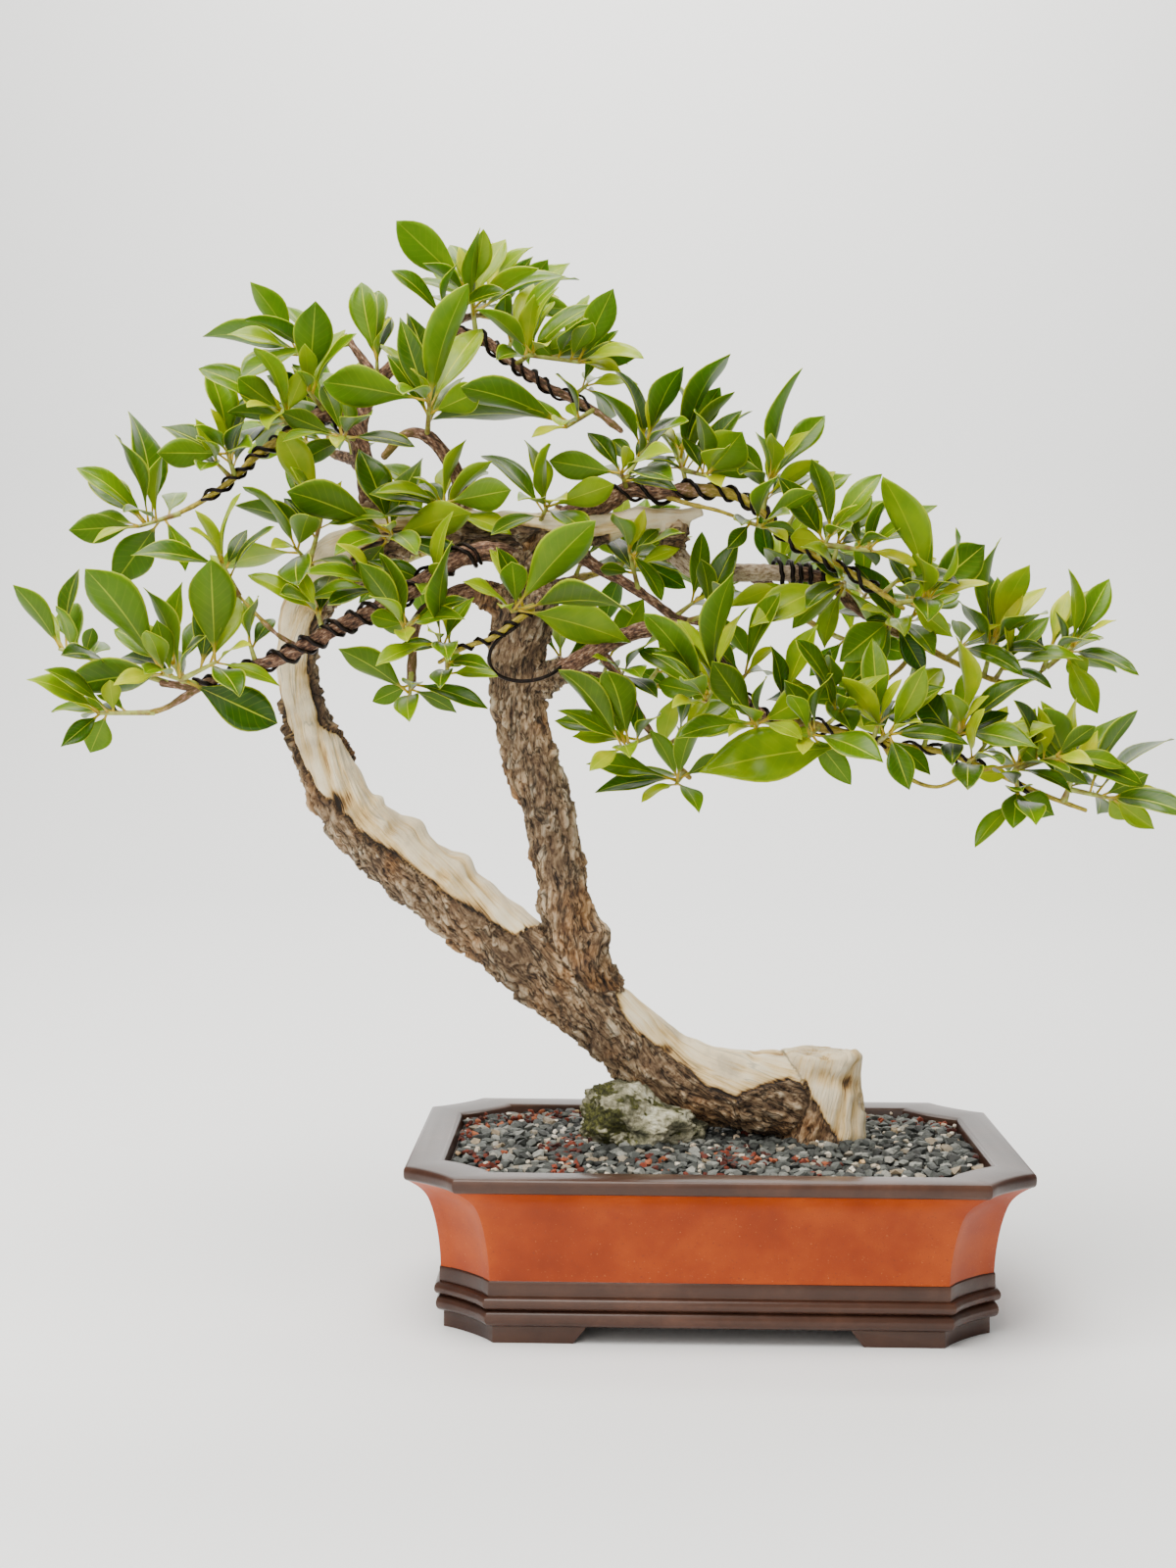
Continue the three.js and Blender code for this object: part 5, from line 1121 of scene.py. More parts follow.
# Branch bark: flaky brown where old and smooth yellow-brown where young, greener at the ends
twig, surface = new_material("buttonwood_branch_bark")
grain = add_node(twig, "Attribute", attribute_name="grain").outputs["Vector"]
along = add_node(twig, "Mapping", {"Vector": grain, "Scale": (1, 1, 0.4)})
rough = add_node(twig, "TexNoise", {"Vector": along, "Scale": 620, "Detail": 5, "Roughness": 0.65})
old_tone = add_node(twig, "ValToRGB", {"Fac": rough}, stops=[(0.34, "#1a0f0a"), (0.45, "#4a3022"),
    (0.56, "#7e5c44"), (0.68, "#bb9f84")])
young_tone = add_node(twig, "ValToRGB", {"Fac": rough}, stops=[(0.32, "#5d4f10"), (0.5, "#9c8a1c"),
    (0.68, "#cbb82f")])
age = add_node(twig, "Attribute", attribute_name="age").outputs["Fac"]
patchy = add_node(twig, "Math", {0: rough, 1: age}, operation="ADD")
older = add_node(twig, "MapRange", {"Value": patchy, "From Min": 0.85, "From Max": 1.25})
mixed = add_node(twig, "Mix", {0: older, 6: young_tone, 7: old_tone}, data_type="RGBA")
pale_tone = add_node(twig, "ValToRGB", {"Fac": rough}, stops=[(0.34, "#4e3d30"), (0.46, "#a28b74"),
    (0.6, "#cdbba2")])
pale = add_node(twig, "Attribute", attribute_name="pale").outputs["Fac"]
worn = add_node(twig, "Mix", {0: pale, 6: mixed, 7: pale_tone}, data_type="RGBA")
skin_bump = add_node(twig, "Bump", {"Height": rough, "Strength": 0.7, "Distance": 0.8 * mm})
dull = add_node(twig, "MapRange", {"Value": age, "To Min": 0.5, "To Max": 0.85})
set_inputs(surface, {"Base Color": worn, "Normal": skin_bump, "Roughness": dull})
finish_piece(branches, twig, "bark_and_deadwood")


# Training wire: dark anodised aluminium wire, wound by hand in uneven turns along six branches,
# close to the bark here and a little off it there. Each is a round wire drawn along its helix.

# Its limb, the shares of the length it runs over, the pitch and radius in mm, its first turn, and
# how far in mm its turns stand off the bark here and there
wires = {
    "wire_left_low": ("left_low", 0.17, 0.93, 25, 1.5, 1 / 3, 1.2),
    "wire_left_up": ("left_up", 0.36, 0.93, 24, 1.3, 1 / 4, 1.2),
    "wire_top": ("top", 0.3, 0.9, 25, 1.2, 2 / 3, 1.4),
    "wire_right_low": ("right_low", 0.32, 0.92, 28, 1.3, 1 / 6, 1.4),
    "wire_right_up": ("right_up", 0.22, 0.94, 26, 1.4, 2 / 3, 1.4),
    "wire_right_middle": ("right_middle", 0.3, 0.44, 7, 1.5, 1 / 3, 6),
}
wire_steps = 5
steps_per_turn = 20
wire_press = 0.1 * mm
# A second, thinner strand runs beside the first, but not in the close coil: its share of the
# radius, and turns behind
strand_lags = ((1, 0), (0.8, 0.42))
close_coil = 10

# Anodised aluminium: near black with a brown cast, worn paler in places, with a soft metal shine
aluminium, surface = new_material("anodised_aluminium_wire")
place = add_node(aluminium, "TexCoord").outputs["Object"]
wear = add_node(aluminium, "TexNoise", {"Vector": place, "Scale": 300, "Detail": 4, "Roughness": 0.6})
tone = add_node(aluminium, "ValToRGB", {"Fac": wear}, stops=[(0.35, "#0d0907"), (0.6, "#1e1511"),
    (0.78, "#5a4232")])
gloss = add_node(aluminium, "MapRange", {"Value": wear, "To Min": 0.28, "To Max": 0.5})
set_inputs(surface, {"Base Color": tone, "Roughness": gloss, "Metallic": 0.75})

for name, (limb, first, last, pitch, radius, start, slack) in wires.items():
    coarse = limb_stations(limbs[limb], pitch * mm / wire_steps)
    length = coarse[-1][5]
    advance = length / (len(coarse) - 1) * wire_steps
    run = round(first * (len(coarse) - 1)) * advance / wire_steps
    end = int(last * (len(coarse) - 1)) * advance / wire_steps
    fine = limb_stations(limbs[limb], mm)
    strands = []
    for strand, lag in strand_lags[:1 if pitch < close_coil else 2]:
        line = []
        place = run
        while place <= end:
            station = fine[min(len(fine) - 1, round(place / length * (len(fine) - 1)))]
            uneven = noise.noise(Vector((place / advance * 0.45, 3 * lag, radius)))
            angle = math.tau * (place / advance + start + lag + 0.5 * uneven)
            wood_radius = station[4] * slimness(limb, station[6])
            loose = max(0, noise.noise(Vector((place / advance * 0.7, 5 * lag, pitch))) + 0.15)
            reach = wood_radius + strand * radius * mm - wire_press + slack * mm * loose
            point = station[0] + (station[2] * math.cos(angle) + station[3] * math.sin(angle)) * reach
            line.append((point, strand * radius * mm))
            place += advance / steps_per_turn
        strands.append(line)
    finish_piece(draw_tubes(name, strands, 8), aluminium, "training_wire", name)

# The centre twig is held by a thin wire of its own, which winds along it and ends in a loose loop
# round the front of the upper trunk
held_from = 1.2
held_until = 4.6
held_pitch = 11 * mm
held_radius = 1.2 * mm
loop_points = [
    (526, 640, -40), (506, 655, -34), (499, 672, -28), (505, 686, -26), (522, 694, -26),
    (545, 694, -25), (564, 687, -22), (578, 675, -16),
]
held = []
for centre, _, normal, side, radius, run, place in limb_lines["centre_twig"]:
    if held_from < place < held_until:
        angle = math.tau * run / held_pitch
        reach = radius * slimness("centre_twig", place) + held_radius
        held.append((centre + (normal * math.cos(angle) + side * math.sin(angle)) * reach, held_radius))
loop = limb_stations([(*p, 1) for p in loop_points], fine_step)
loop = [(station[0], held_radius) for station in loop]
finish_piece(draw_tubes("wire_centre", [held, loop], 8), aluminium, "training_wire")


# Leaves: thick glossy pointed leaves in whorls at the ends of green stems, each folded a little
# along its midrib. One blade is modelled and copied, bent and widened for every leaf.

# Each stem carries shoots: where its stem runs, how many leaves grow behind, and the tips of the
# leaves that are seen, with their widths.
leafy_stems = {
    "left_tip": [((172, 697, -56), (60, 662, -46), 1, [(13, 597, 22), (80, 580, 16), (57, 618, 14),
        (26, 645, 30), (95, 640, 16)])],
    "left_low_end": [((204, 699, -54), (166, 688, -72), 1, [(87, 580, 45), (60, 703, 38), (160, 632, 24),
        (110, 664, 25), (150, 598, 16), (283, 738, 45)]), ((230, 690, -52), (222, 676, -68), 1,
        [(215, 570, 48), (244, 606, 30), (290, 640, 28), (268, 600, 24)])],
    "left_low_fork": [((158, 727, -59), (100, 728, -64), 1, [(62, 762, 20), (92, 768, 30), (112, 694, 20),
        (52, 726, 16)])],
    "left_twig_end": [((244, 608, -57), (226, 574, -66), 0, [(200, 520, 14), (252, 540, 16),
        (214, 566, 10)])],
    "left_up_end": [((184, 524, -4), (152, 534, -10), 1, [(70, 541, 30), (90, 486, 28), (118, 443, 12),
        (133, 418, 30), (165, 462, 14), (115, 598, 40), (190, 582, 18)])],
    "left_up_middle": [((240, 487, -4), (232, 462, -16), 1, [(160, 462, 30), (210, 372, 26),
        (245, 430, 14), (262, 400, 18)])],
    "top_left": [((358, 350, 20), (302, 362, 24), 1, [(255, 288, 24), (208, 341, 22), (249, 325, 18),
        (284, 310, 14), (246, 386, 18)])],
    "left_up_inner": [((334, 423, 2), (314, 398, -16), 1, [(322, 307, 40), (352, 336, 18), (286, 350, 20),
        (272, 382, 18)])],
    "left_up_front": [((306, 438, 0), (288, 420, -20), 1, [(242, 385, 28), (318, 362, 28), (262, 352, 20),
        (232, 420, 18)])],
    "upright_front": [((364, 448, 7), (346, 446, -20), 1, [(286, 420, 24), (328, 392, 20), (350, 402, 16),
        (300, 476, 22)])],
    "middle_up_crown": [((436, 446, 0), (438, 412, -24), 1, [(328, 389, 42), (416, 318, 30),
        (478, 290, 35), (492, 336, 32), (490, 399, 32), (388, 352, 14), (427, 266, 12), (503, 312, 14)])],
    "top_crown": [((486, 343, 22), (480, 296, 28), 1, [(404, 225, 38), (460, 248, 22), (432, 268, 14),
        (516, 244, 24), (549, 272, 20), (591, 284, 12), (490, 232, 14)])],
    "top_middle": [((526, 372, 15), (544, 360, -2), 1, [(487, 313, 18), (605, 345, 30), (545, 300, 22),
        (566, 308, 14)]), ((540, 364, 0), (592, 370, -6), 1, [(626, 294, 32), (600, 300, 18),
        (652, 362, 25), (640, 330, 10), (548, 348, 20)])],
    "top_hanging": [((606, 418, 4), (578, 436, -22), 1, [(470, 395, 34), (440, 430, 24),
        (520, 440, 18)])],
    "arc_left": [((392, 556, 16), (400, 544, -24), 1, [(292, 500, 40), (366, 458, 32), (396, 450, 28),
        (432, 468, 24), (482, 522, 36), (364, 592, 28)])],
    "arc_middle": [((462, 542, 14), (450, 512, -14), 1, [(522, 500, 35), (474, 448, 12), (502, 470, 16),
        (522, 545, 18), (424, 500, 12)])],
    "arc_shoulder": [((332, 592, 14), (302, 560, -20), 0, [(250, 494, 12), (222, 580, 24),
        (252, 535, 25)]), ((322, 578, -8), (328, 530, -18), 0, [(285, 440, 32), (300, 478, 20),
        (240, 515, 22)])],
    "left_middle_fan": [((428, 628, -24), (412, 642, -58), 1, [(365, 572, 26), (388, 564, 18),
        (378, 628, 20), (318, 652, 28)])],
    "left_middle_end": [((420, 684, -28), (418, 710, -38), 1, [(345, 662, 28), (466, 727, 16),
        (380, 716, 20)])],
    "centre_fan": [((466, 665, -45), (448, 656, -60), 0, [(462, 552, 18), (484, 610, 14), (502, 590, 12),
        (436, 600, 14)]), ((448, 676, -46), (456, 690, -60), 0, [(508, 690, 14), (474, 668, 14)])],
    "centre_bright": [((548, 617, -26), (522, 624, -50), 1, [(608, 532, 45), (644, 656, 40),
        (648, 622, 24), (500, 560, 20)])],
    "arc_crown": [((548, 538, 9), (558, 518, -16), 1, [(627, 494, 30), (536, 448, 18), (560, 452, 16),
        (492, 462, 20), (614, 425, 22), (484, 420, 18), (574, 430, 32)])],
    "right_up_first": [((640, 501, -4), (634, 482, -22), 1, [(560, 470, 30), (600, 440, 18)]),
        ((640, 493, -14), (660, 452, -12), 1, [(696, 372, 26), (629, 375, 14), (608, 396, 14),
        (660, 380, 14), (648, 408, 10), (624, 448, 18), (716, 416, 32)])],
    "right_up_third": [((702, 501, -10), (692, 458, 10), 1, [(735, 395, 28), (694, 392, 14),
        (742, 358, 25), (778, 370, 40), (750, 400, 14), (768, 420, 12)]), ((700, 494, -3),
        (722, 486, -30), 0, [(758, 440, 46), (696, 446, 14), (776, 480, 20)])],
    "right_up_fifth": [((778, 523, -14), (786, 488, -22), 1, [(818, 375, 14), (772, 440, 10),
        (754, 450, 20), (812, 448, 20), (836, 470, 18)])],
    "right_up_twig_end": [((750, 528, -23), (778, 538, -36), 0, [(832, 500, 18), (826, 548, 16),
        (742, 560, 18)])],
    "right_inner_end": [((652, 604, 0), (642, 562, -16), 1, [(676, 612, 16), (672, 540, 14),
        (624, 520, 14), (694, 560, 14), (612, 580, 14)])],
    "right_inner_far": [((700, 634, 3), (738, 622, -8), 1, [(790, 600, 20), (762, 668, 18),
        (716, 570, 20)])],
    "right_up_last": [((834, 568, -17), (848, 544, -28), 1, [(828, 468, 22), (890, 506, 24),
        (806, 548, 22), (812, 506, 16)]), ((870, 586, -18), (888, 562, -28), 0, [(902, 510, 14),
        (858, 520, 16), (926, 540, 16)])],
    "right_up_end": [((914, 616, -21), (938, 612, -32), 1, [(900, 487, 36), (948, 535, 22),
        (938, 566, 18), (1006, 555, 40), (980, 522, 38), (906, 568, 14), (972, 650, 22)])],
    "right_middle_fan": [((860, 608, 20), (862, 594, -12), 1, [(765, 640, 34), (808, 640, 22),
        (840, 660, 20), (902, 646, 16)])],
    "right_middle_bright": [((926, 651, 24), (910, 630, -10), 1, [(857, 675, 40), (880, 690, 26),
        (944, 688, 24)])],
    "right_middle_low": [((862, 719, 3), (842, 716, -12), 1, [(812, 650, 12), (846, 662, 16),
        (893, 662, 28), (905, 752, 22), (800, 704, 16)])],
    "right_middle_far": [((1004, 690, 20), (1014, 650, 8), 1, [(1050, 575, 28), (1068, 600, 20),
        (1017, 548, 12), (994, 566, 20), (978, 612, 14), (1066, 656, 18)])],
    "right_middle_end": [((1068, 681, 20), (1090, 664, 14), 1, [(1092, 580, 14), (1108, 692, 24),
        (1120, 728, 28), (1140, 686, 14), (1130, 630, 16)])],
    "right_low_first": [((776, 730, -30), (772, 742, -52), 1, [(726, 674, 35), (834, 704, 34),
        (818, 752, 14), (718, 752, 16)])],
    "right_low_big": [((836, 741, -30), (826, 752, -54), 1, [(713, 789, 54), (868, 800, 26),
        (800, 694, 20)])],
    "right_low_second": [((896, 757, -30), (908, 748, -52), 1, [(928, 806, 28), (962, 680, 35),
        (860, 690, 22), (950, 790, 16)])],
    "right_low_third": [((964, 768, -28), (980, 746, -40), 1, [(978, 648, 18), (998, 676, 20),
        (1056, 690, 18), (938, 706, 32), (1030, 728, 16)])],
    "right_low_fourth": [((1030, 796, -25), (1040, 776, -38), 0, [(1056, 722, 18), (1000, 728, 20),
        (1084, 742, 20), (994, 790, 18)]), ((1036, 788, -33), (1040, 818, -46), 0, [(995, 865, 18),
        (1076, 832, 30), (1034, 844, 28)]), ((1041, 800, -40), (1078, 772, -52), 1, [(1118, 740, 18),
        (1110, 800, 20), (1060, 720, 16)])],
    "right_low_end": [((1084, 818, -24), (1096, 792, -32), 1, [(1066, 722, 38), (1098, 712, 20),
        (1140, 720, 28)]), ((1100, 824, -24), (1136, 816, -24), 1, [(1178, 846, 22), (1154, 836, 24),
        (1172, 790, 24), (1197, 752, 14), (1160, 724, 16)])],
    "right_hanging_front": [((666, 750, -15), (634, 764, -40), 1, [(572, 681, 26), (596, 684, 14),
        (620, 682, 34), (566, 736, 20), (540, 785, 20), (650, 720, 14), (584, 752, 20)])],
    "right_low_fan": [((738, 684, -30), (720, 716, -66), 1, [(658, 624, 32), (652, 662, 24),
        (672, 698, 24), (692, 632, 22), (747, 583, 28), (762, 618, 12), (727, 620, 14)])],
    "right_hanging_end": [((698, 788, -12), (690, 800, -26), 1, [(712, 732, 24), (664, 744, 18),
        (748, 772, 18)])],
    "back_left_end": [((330, 459, 90), (300, 446, 122), 3, [(262, 404, 26), (306, 380, 24),
        (252, 462, 22), (340, 410, 20), (300, 506, 20)])],
    "back_top_end": [((500, 324, 94), (524, 312, 116), 3, [(560, 264, 24), (512, 256, 22), (584, 316, 22),
        (540, 372, 20)])],
    "back_middle_end": [((622, 582, 102), (648, 568, 122), 3, [(696, 540, 26), (660, 508, 24),
        (700, 600, 24), (616, 640, 22), (606, 540, 20)])],
    "back_centre_end": [((430, 566, 98), (408, 576, 122), 3, [(352, 556, 26), (394, 506, 24),
        (366, 616, 22), (436, 634, 22), (444, 516, 20)])],
    "back_right_end": [((846, 646, 98), (872, 656, 118), 3, [(920, 612, 26), (872, 584, 24),
        (930, 668, 24), (866, 722, 22), (826, 690, 20)])],
    "back_low_end": [((672, 700, 95), (702, 706, 112), 2, [(752, 692, 24), (706, 646, 22), (756, 736, 22),
        (676, 760, 22), (652, 684, 20)])],
}
least_spacing = 3 * mm
leaf_spacing = 4 * mm
leafy_share = 0.75
first_leaf = 1.4 * mm
drawn_out = 0.6
fork_from = 0.5
leaf_width_share = 0.36
leaf_arch = 0.07
swing_step = 6
swing_tries = 5
shorter_leaf = (1, 0.8, 0.64)
same_place = 0.06 * mm
stem_foot = 1.9 * mm
stem_end = 1.15 * mm
blade_thickness = 0.45 * mm
blade_rows = 14
blade_columns = 6
petiole_share = 0.11
petiole_half = 0.8 * mm
blade_point = 0.12 * mm

bpy.ops.object.select_all(action="DESELECT")
bpy.ops.mesh.primitive_grid_add(x_subdivisions=blade_rows, y_subdivisions=blade_columns, size=1)
blade = bpy.context.object
bpy.ops.object.mode_set(mode="EDIT")
bpy.ops.mesh.select_all(action="SELECT")
bpy.ops.transform.translate(value=(0.5, 0, 0))
bpy.ops.transform.resize(value=(1, 2, 1), center_override=(0, 0, 0))
bpy.ops.object.mode_set(mode="OBJECT")
reshape(blade, "SOLIDIFY", thickness=1)
blade_corners, blade_faces = read_form(blade)


def outline(t, foot, point):
    """Half of the blade's width at a share of its length, as a share of its full width. The powers
    say how it tapers to its stalk and to its point."""
    if t < petiole_share:
        return 0
    x = (t - petiole_share) / (1 - petiole_share)
    widest = foot / (foot + point)
    return 0.5 * (x / widest) ** foot * ((1 - x) / (1 - widest)) ** point


def leaf_frame(base, tip, seen_width):
    """Directions, length and width of a leaf whose upper face looks up."""
    along = tip - base
    length = along.length
    along = along.normalized()
    sight = (base + tip) / 2 - eye
    scale = sight.length / focal
    width = max(leaf_width_share * length, seen_width * scale)
    across = along.cross(sight).normalized()
    other = across.cross(along)
    share = min(1, seen_width * scale / width)
    choices = []
    for sign in (1, -1):
        side = across * share + other * sign * math.sqrt(1 - share * share)
        normal = along.cross(side)
        choices.append((side, normal) if normal.z >= 0 else (-side, -normal))
    side, normal = max(choices, key=lambda choice: choice[1].z)
    return along, side, normal, length, width


def shoot_lines(shoots):
    """The line of each shoot's stem."""
    ends = []
    for start, end, behind, leaves in shoots:
        start, end = at(*start), at(*end)
        missing = least_spacing * (len(leaves) + behind) / leafy_share - (end - start).length
        end = end + (end - start).normalized() * max(0, missing) * drawn_out
        ends.append((start, end))
    first, last = ends[0]
    for k in range(1, len(ends)):
        start, end = ends[k]
        share = (start - first).dot(last - first) / (last - first).length_squared
        ends[k] = (first.lerp(last, max(fork_from, min(1, share))), end)
    return ends


def park_miller(seed):
    """Numbers from 0 to 1 in an order that the seed sets."""
    state = seed
    while True:
        state = state * 16807 % 2147483647
        yield state / 2147483647


def planned_leaves(shoot, line, numbers):
    """Where each leaf springs, and the picture point, depth and width of its tip."""
    hub, behind, leaves = shoot[1], shoot[2], shoot[3]
    start, end = line
    length = (end - start).length
    spacing = min(leaf_spacing, leafy_share * length / (len(leaves) + behind))
    plan = []
    for index, (u, v, width) in enumerate(leaves):
        base = start.lerp(end, 1 - (first_leaf + spacing * index) / length)
        level = (base.y - pot_middle.y) / mm
        flat = (base - at(u, v, level)).length / mm
        side = -1 if index % 2 == 0 else 1
        plan.append((base, u, v, level + side * flat * (0.25 + 0.3 * next(numbers)), width))
    for index in range(len(leaves), len(leaves) + behind):
        base = start.lerp(end, 1 - (first_leaf + spacing * index) / length)
        angle = math.tau * next(numbers)
        reach = 24 + 30 * next(numbers)
        u = hub[0] + reach * math.cos(angle)
        v = hub[1] - reach * abs(math.sin(angle))
        depth = (base.y - pot_middle.y) / mm + 30 + 16 * next(numbers)
        plan.append((base, u, v, depth, 12 + 14 * next(numbers)))
    return plan


def find_tip(tips, plan):
    """The frame of a planned leaf, swung or shortened as its packed blade was, or None."""
    base, u, v, depth, width = plan
    for share in shorter_leaf:
        for attempt in range(2 * swing_tries):
            swing = (1 if attempt % 2 == 0 else -1) * math.ceil(attempt / 2) * swing_step
            tip = base.lerp(at(u, v, depth + swing), share)
            if tips.find(tip)[2] < same_place:
                return leaf_frame(base, tip, width * share)
    return None


def leaf_points(base, leaf_directions):
    """Points spread over a leaf beyond its stalk."""
    along, side, _, length, width = leaf_directions
    spots = [(t, s) for t in (0.4, 0.6, 0.8, 1) for s in (-0.3, 0, 0.3)]
    return [base + along * t * length + side * s * width for t, s in spots]


# Leaves added on each shoot: share of the stem, length, lean from the stem in degrees, and tone
extra_leaves = (
    (1, 34 * mm, 18, 0.9), (0.95, 48 * mm, 38, 0.55), (0.8, 54 * mm, 54, 0.25), (0.55, 48 * mm, 68, 0),
)
leaf_room = 4.5 * mm
room_tries = 16
# The widest leaf springs from the low right branch and leans a little to the viewer
widest_leaf = 50
widest_base = (874, 762, -33)
full_leaf_lean = 26


def most_room(start, end, share, length, lean, draw, crowd):
    """A new leaf on a stem, in the direction that has most room, or None where there is none."""
    axis = (end - start).normalized()
    base = start.lerp(end, share)
    cross = axis.orthogonal().normalized()
    near = [p for p in crowd if (p - base).length < 2 * length and (p - base).length > 5 * mm]
    others = KDTree(len(near))
    for index, p in enumerate(near):
        others.insert(p, index)
    others.balance()
    best = None
    best_room = leaf_room
    for _ in range(room_tries):
        turn = draw.uniform(0, math.tau)
        out = cross * math.cos(turn) + axis.cross(cross) * math.sin(turn)
        angle = math.radians(lean + draw.uniform(-12, 12))
        along = axis * math.cos(angle) + out * math.sin(angle)
        own_length = length * draw.uniform(0.8, 1.15)
        tip = base + along * own_length
        face = Vector((draw.uniform(-0.4, 0.4), -0.7, 0.8))
        normal = (face - along * face.dot(along)).normalized()
        side = normal.cross(along)
        leaf_directions = (along, side, normal, own_length, own_length * draw.uniform(0.28, 0.4))
        inside = all(low + 2 * mm < c < high - 2 * mm for low, c, high in zip(cad_box[0], tip, cad_box[1]))
        if along.z < -0.35 or not inside:
            continue
        spots = leaf_points(base, leaf_directions)
        room = min(others.find(p)[2] for p in spots) if near else 1
        if room > best_room:
            best_room = room
            best = (base, leaf_directions)
    return best


def young_leaves(start, end, kinds):
    """New leaves on a stem, wherever there is room for one of each kind."""
    leaves = []
    for share, length, lean, tone in kinds:
        best = most_room(start, end, share, length, lean, draw, crowd)
        if best:
            leaves.append((*best, min(1, tone + 0.3 * draw.random())))
            crowd.extend(leaf_points(*best))
    return leaves


def add_blade(base, leaf_directions, tone, draw, corners, faces, marks):
    """One leaf: the blade's corners laid along its frame, folded, arched and waved."""
    along, side, normal, length, width = leaf_directions
    fold = draw.uniform(0.16, 0.34)
    foot = draw.uniform(1.2, 1.7)
    point = draw.uniform(0.95, 1.35)
    wave = draw.uniform(0.01, 0.03) * length
    phase = draw.uniform(0, math.tau)
    curl = draw.uniform(-0.02, 0.05) * length
    faces += [tuple(k + len(corners) for k in f) for f in blade_faces]
    for t, s, z in blade_corners:
        half = max(petiole_half * (1 - 0.5 * max(0, t - 0.8) / 0.2), outline(t, foot, point) * width)
        if t > 0.999:
            half = blade_point
        rise = 4 * leaf_arch * length * t * (1 - t) + fold * half * (s * s * 0.7 + abs(s) * 0.3)
        rise += wave * math.sin(phase + 9 * t) * s * abs(s) * min(1, half / (3 * mm))
        rise -= curl * max(0, t - 0.6) ** 2 * 5
        thick = blade_thickness * (1 + 1.6 * max(0, 1 - t / 0.5) * (1 - abs(s)))
        corners.append(base + along * t * length + side * s * half + normal * (rise + z * thick))
        marks.append((t, s, tone, 1.0 if z < -0.5 else 0.0))


# Leaf: leathery bright green with a waxy shine, a pale thin margin and midrib and faint side
# veins, and a paler, duller underside
leaf, surface = new_material("buttonwood_leaf")
mark = add_node(leaf, "Attribute", attribute_name="blade").outputs["Vector"]
parts = add_node(leaf, "SeparateXYZ", {"Vector": mark})
tone = parts.outputs["Z"]
place = add_node(leaf, "TexCoord").outputs["Object"]
cloud = add_node(leaf, "TexNoise", {"Vector": place, "Scale": 60, "Detail": 3, "Roughness": 0.5})
varied = add_node(leaf, "Math", {0: cloud, 1: 0.5, 2: tone}, operation="MULTIPLY_ADD")
ripe = add_node(leaf, "MapRange", {"Value": varied, "From Min": 0.15, "From Max": 1.35})
green = add_node(leaf, "ValToRGB", {"Fac": ripe}, stops=[(0, "#1b2d00"), (0.3, "#314b00"),
    (0.6, "#537100"), (0.85, "#859900"), (1, "#b0b200")])
across = add_node(leaf, "Math", {0: parts.outputs["Y"]}, operation="ABSOLUTE")
rib = add_node(leaf, "MapRange", {"Value": across, "From Min": 0.015, "From Max": 0.05, "To Min": 0.7,
    "To Max": 0.0})
margin = add_node(leaf, "MapRange", {"Value": across, "From Min": 0.9, "From Max": 0.99, "To Min": 0.0,
    "To Max": 0.7})
slant = add_node(leaf, "Math", {0: across, 1: -0.16, 2: parts.outputs["X"]}, operation="MULTIPLY_ADD")
vein_run = add_node(leaf, "Math", {0: slant, 1: 78.0}, operation="MULTIPLY")
vein_wave = add_node(leaf, "Math", {0: vein_run}, operation="SINE")
vein = add_node(leaf, "MapRange", {"Value": vein_wave, "From Min": 0.8, "From Max": 1.0, "To Min": 0.0,
    "To Max": 0.06})
pale = add_node(leaf, "Math", {0: rib, 1: margin}, operation="MAXIMUM")
pale = add_node(leaf, "Math", {0: pale, 1: vein}, operation="MAXIMUM")
veined = add_node(leaf, "Mix", {0: pale, 6: green, 7: linear("#b4bd20")}, data_type="RGBA")
under = add_node(leaf, "Attribute", attribute_name="under").outputs["Fac"]
dusty = add_node(leaf, "Mix", {0: 0.28, 6: veined, 7: linear("#65800e")}, data_type="RGBA")
faced = add_node(leaf, "Mix", {0: under, 6: veined, 7: dusty}, data_type="RGBA")
stalk = add_node(leaf, "MapRange", {"Value": parts.outputs["X"], "From Min": 0.1, "From Max": 0.2,
    "To Min": 1.0, "To Max": 0.0})
stalked = add_node(leaf, "Mix", {0: stalk, 6: faced, 7: linear("#b59a2c")}, data_type="RGBA")
waxy = add_node(leaf, "MapRange", {"Value": under, "To Min": 0.28, "To Max": 0.42})
raised = add_node(leaf, "Math", {0: pale, 1: cloud}, operation="ADD")
veins_bump = add_node(leaf, "Bump", {"Height": raised, "Strength": 0.35, "Distance": 0.5 * mm})
set_inputs(surface, {"Base Color": stalked, "Roughness": waxy, "Normal": veins_bump,
    "Specular IOR Level": 0.2, "Subsurface Weight": 0.15, "Subsurface Radius": (0.003, 0.006, 0.001),
    "Subsurface Scale": 0.5})

# Green stem: a smooth yellow-green skin that turns brown in patches
shoot_skin, surface = new_material("green_shoot")
place = add_node(shoot_skin, "TexCoord").outputs["Object"]
cloud = add_node(shoot_skin, "TexNoise", {"Vector": place, "Scale": 160, "Detail": 3, "Roughness": 0.5})
tone = add_node(shoot_skin, "ValToRGB", {"Fac": cloud}, stops=[(0.35, "#7a5f2a"), (0.5, "#93963c"),
    (0.65, "#a9b551")])
set_inputs(surface, {"Base Color": tone, "Roughness": 0.5})

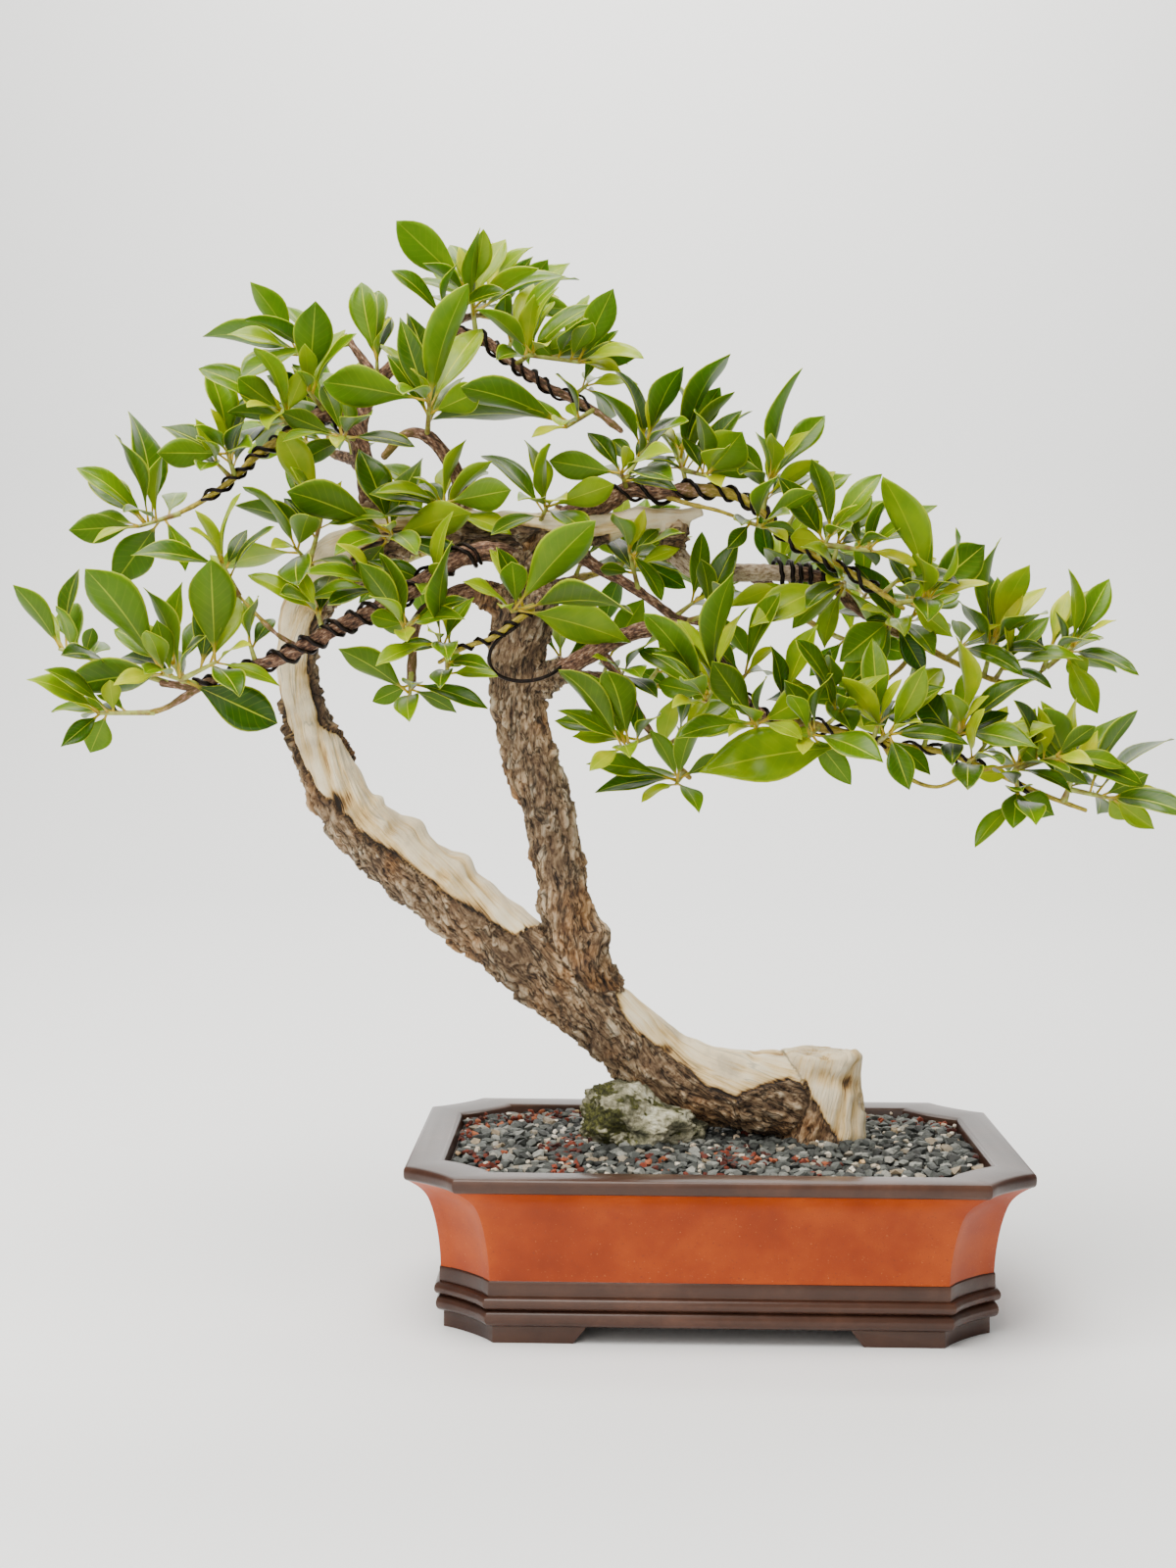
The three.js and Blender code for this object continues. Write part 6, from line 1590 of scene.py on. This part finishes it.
numbers = park_miller(20611)
draw = random.Random(7)
sprays = {}
crowd = [station[0] for _, station in places]
for name, shoots in leafy_stems.items():
    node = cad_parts["leaves_" + name]
    tips = KDTree(len(node.data.vertices))
    for vertex in node.data.vertices:
        tips.insert(node.matrix_world @ vertex.co, vertex.index)
    tips.balance()
    lines = shoot_lines(shoots)
    grown = []
    for shoot, line in zip(shoots, lines):
        crowd += [line[0].lerp(line[1], k / 4) for k in range(5)]
        for plan in planned_leaves(shoot, line, numbers):
            found = find_tip(tips, plan)
            if found and plan[4] > widest_leaf:
                plan = (at(*widest_base), *plan[1:])
                level = widest_base[2] - full_leaf_lean
                found = leaf_frame(plan[0], at(plan[1], plan[2], level), plan[4])
            if found:
                grown.append((plan[0], found, draw.random()))
                crowd += leaf_points(plan[0], found)
    sprays[name] = (lines, grown)

# Young leaves stand round the end of each shoot and older ones lower down, where there is room
for lines, grown in sprays.values():
    for start, end in lines:
        grown += young_leaves(start, end, extra_leaves)

# Short shoots fill the branches between: limb, first and last place, and spacing
between_shoots = (
    ("right_up", 3, 12, 36 * mm), ("right_low", 6, 14, 30 * mm), ("right_middle", 6, 12, 32 * mm),
    ("left_low", 4, 10, 44 * mm), ("left_up", 5, 9, 46 * mm), ("top", 2, 10, 50 * mm),
    ("right_inner", 2, 5, 44 * mm), ("left_middle", 2, 4, 44 * mm),
    ("right_low_twig", 1, 4, 36 * mm), ("right_hanging", 1, 4, 44 * mm),
    ("back_right", 1, 3, 34 * mm), ("back_low", 1, 3, 38 * mm), ("back_middle", 1, 3, 38 * mm),
    ("back_left", 1, 3, 38 * mm), ("back_top", 1, 3, 38 * mm), ("back_centre", 1, 3, 38 * mm),
)
short_stem = 15 * mm
short_leaves = (
    (1, 36 * mm, 18, 0.8), (0.97, 48 * mm, 36, 0.5), (0.88, 54 * mm, 52, 0.25),
    (0.7, 48 * mm, 68, 0.05),
)
fewest_leaves = 3
for limb, first, last, spacing in between_shoots:
    lines = []
    grown = []
    due = 0
    for centre, tangent, _, _, _, run, place in limb_lines[limb]:
        if place < first or place > last or run < due:
            continue
        due = run + spacing
        out = Vector((draw.uniform(-0.5, 0.5), draw.uniform(-0.9, 0.7), 0.9))
        end = centre + (out + tangent * 0.5).normalized() * short_stem
        leaves = young_leaves(centre, end, short_leaves)
        if len(leaves) >= fewest_leaves:
            lines.append((centre, end))
            grown += leaves
    if lines:
        sprays["on_" + limb] = (lines, grown)

for name, (lines, grown) in sprays.items():
    corners = []
    faces = []
    marks = []
    for base, found, tone in grown:
        add_blade(base, found, tone, draw, corners, faces, marks)
    stems = [[(start.lerp(end, k / 6), stem_foot + (stem_end - stem_foot) * k / 6) for k in range(7)]
             for start, end in lines]
    spray = new_piece("spray_" + name, corners, faces)
    give_numbers(spray, "blade", [value for mark in marks for value in mark[:3]])
    give_numbers(spray, "under", [mark[3] for mark in marks])
    finish_piece(draw_tubes("stem_" + name, stems, 8), shoot_skin, "leaf")
    stood_for = ["leaves_" + name] if name in leafy_stems else []
    finish_piece(spray, leaf, "leaf", *stood_for)
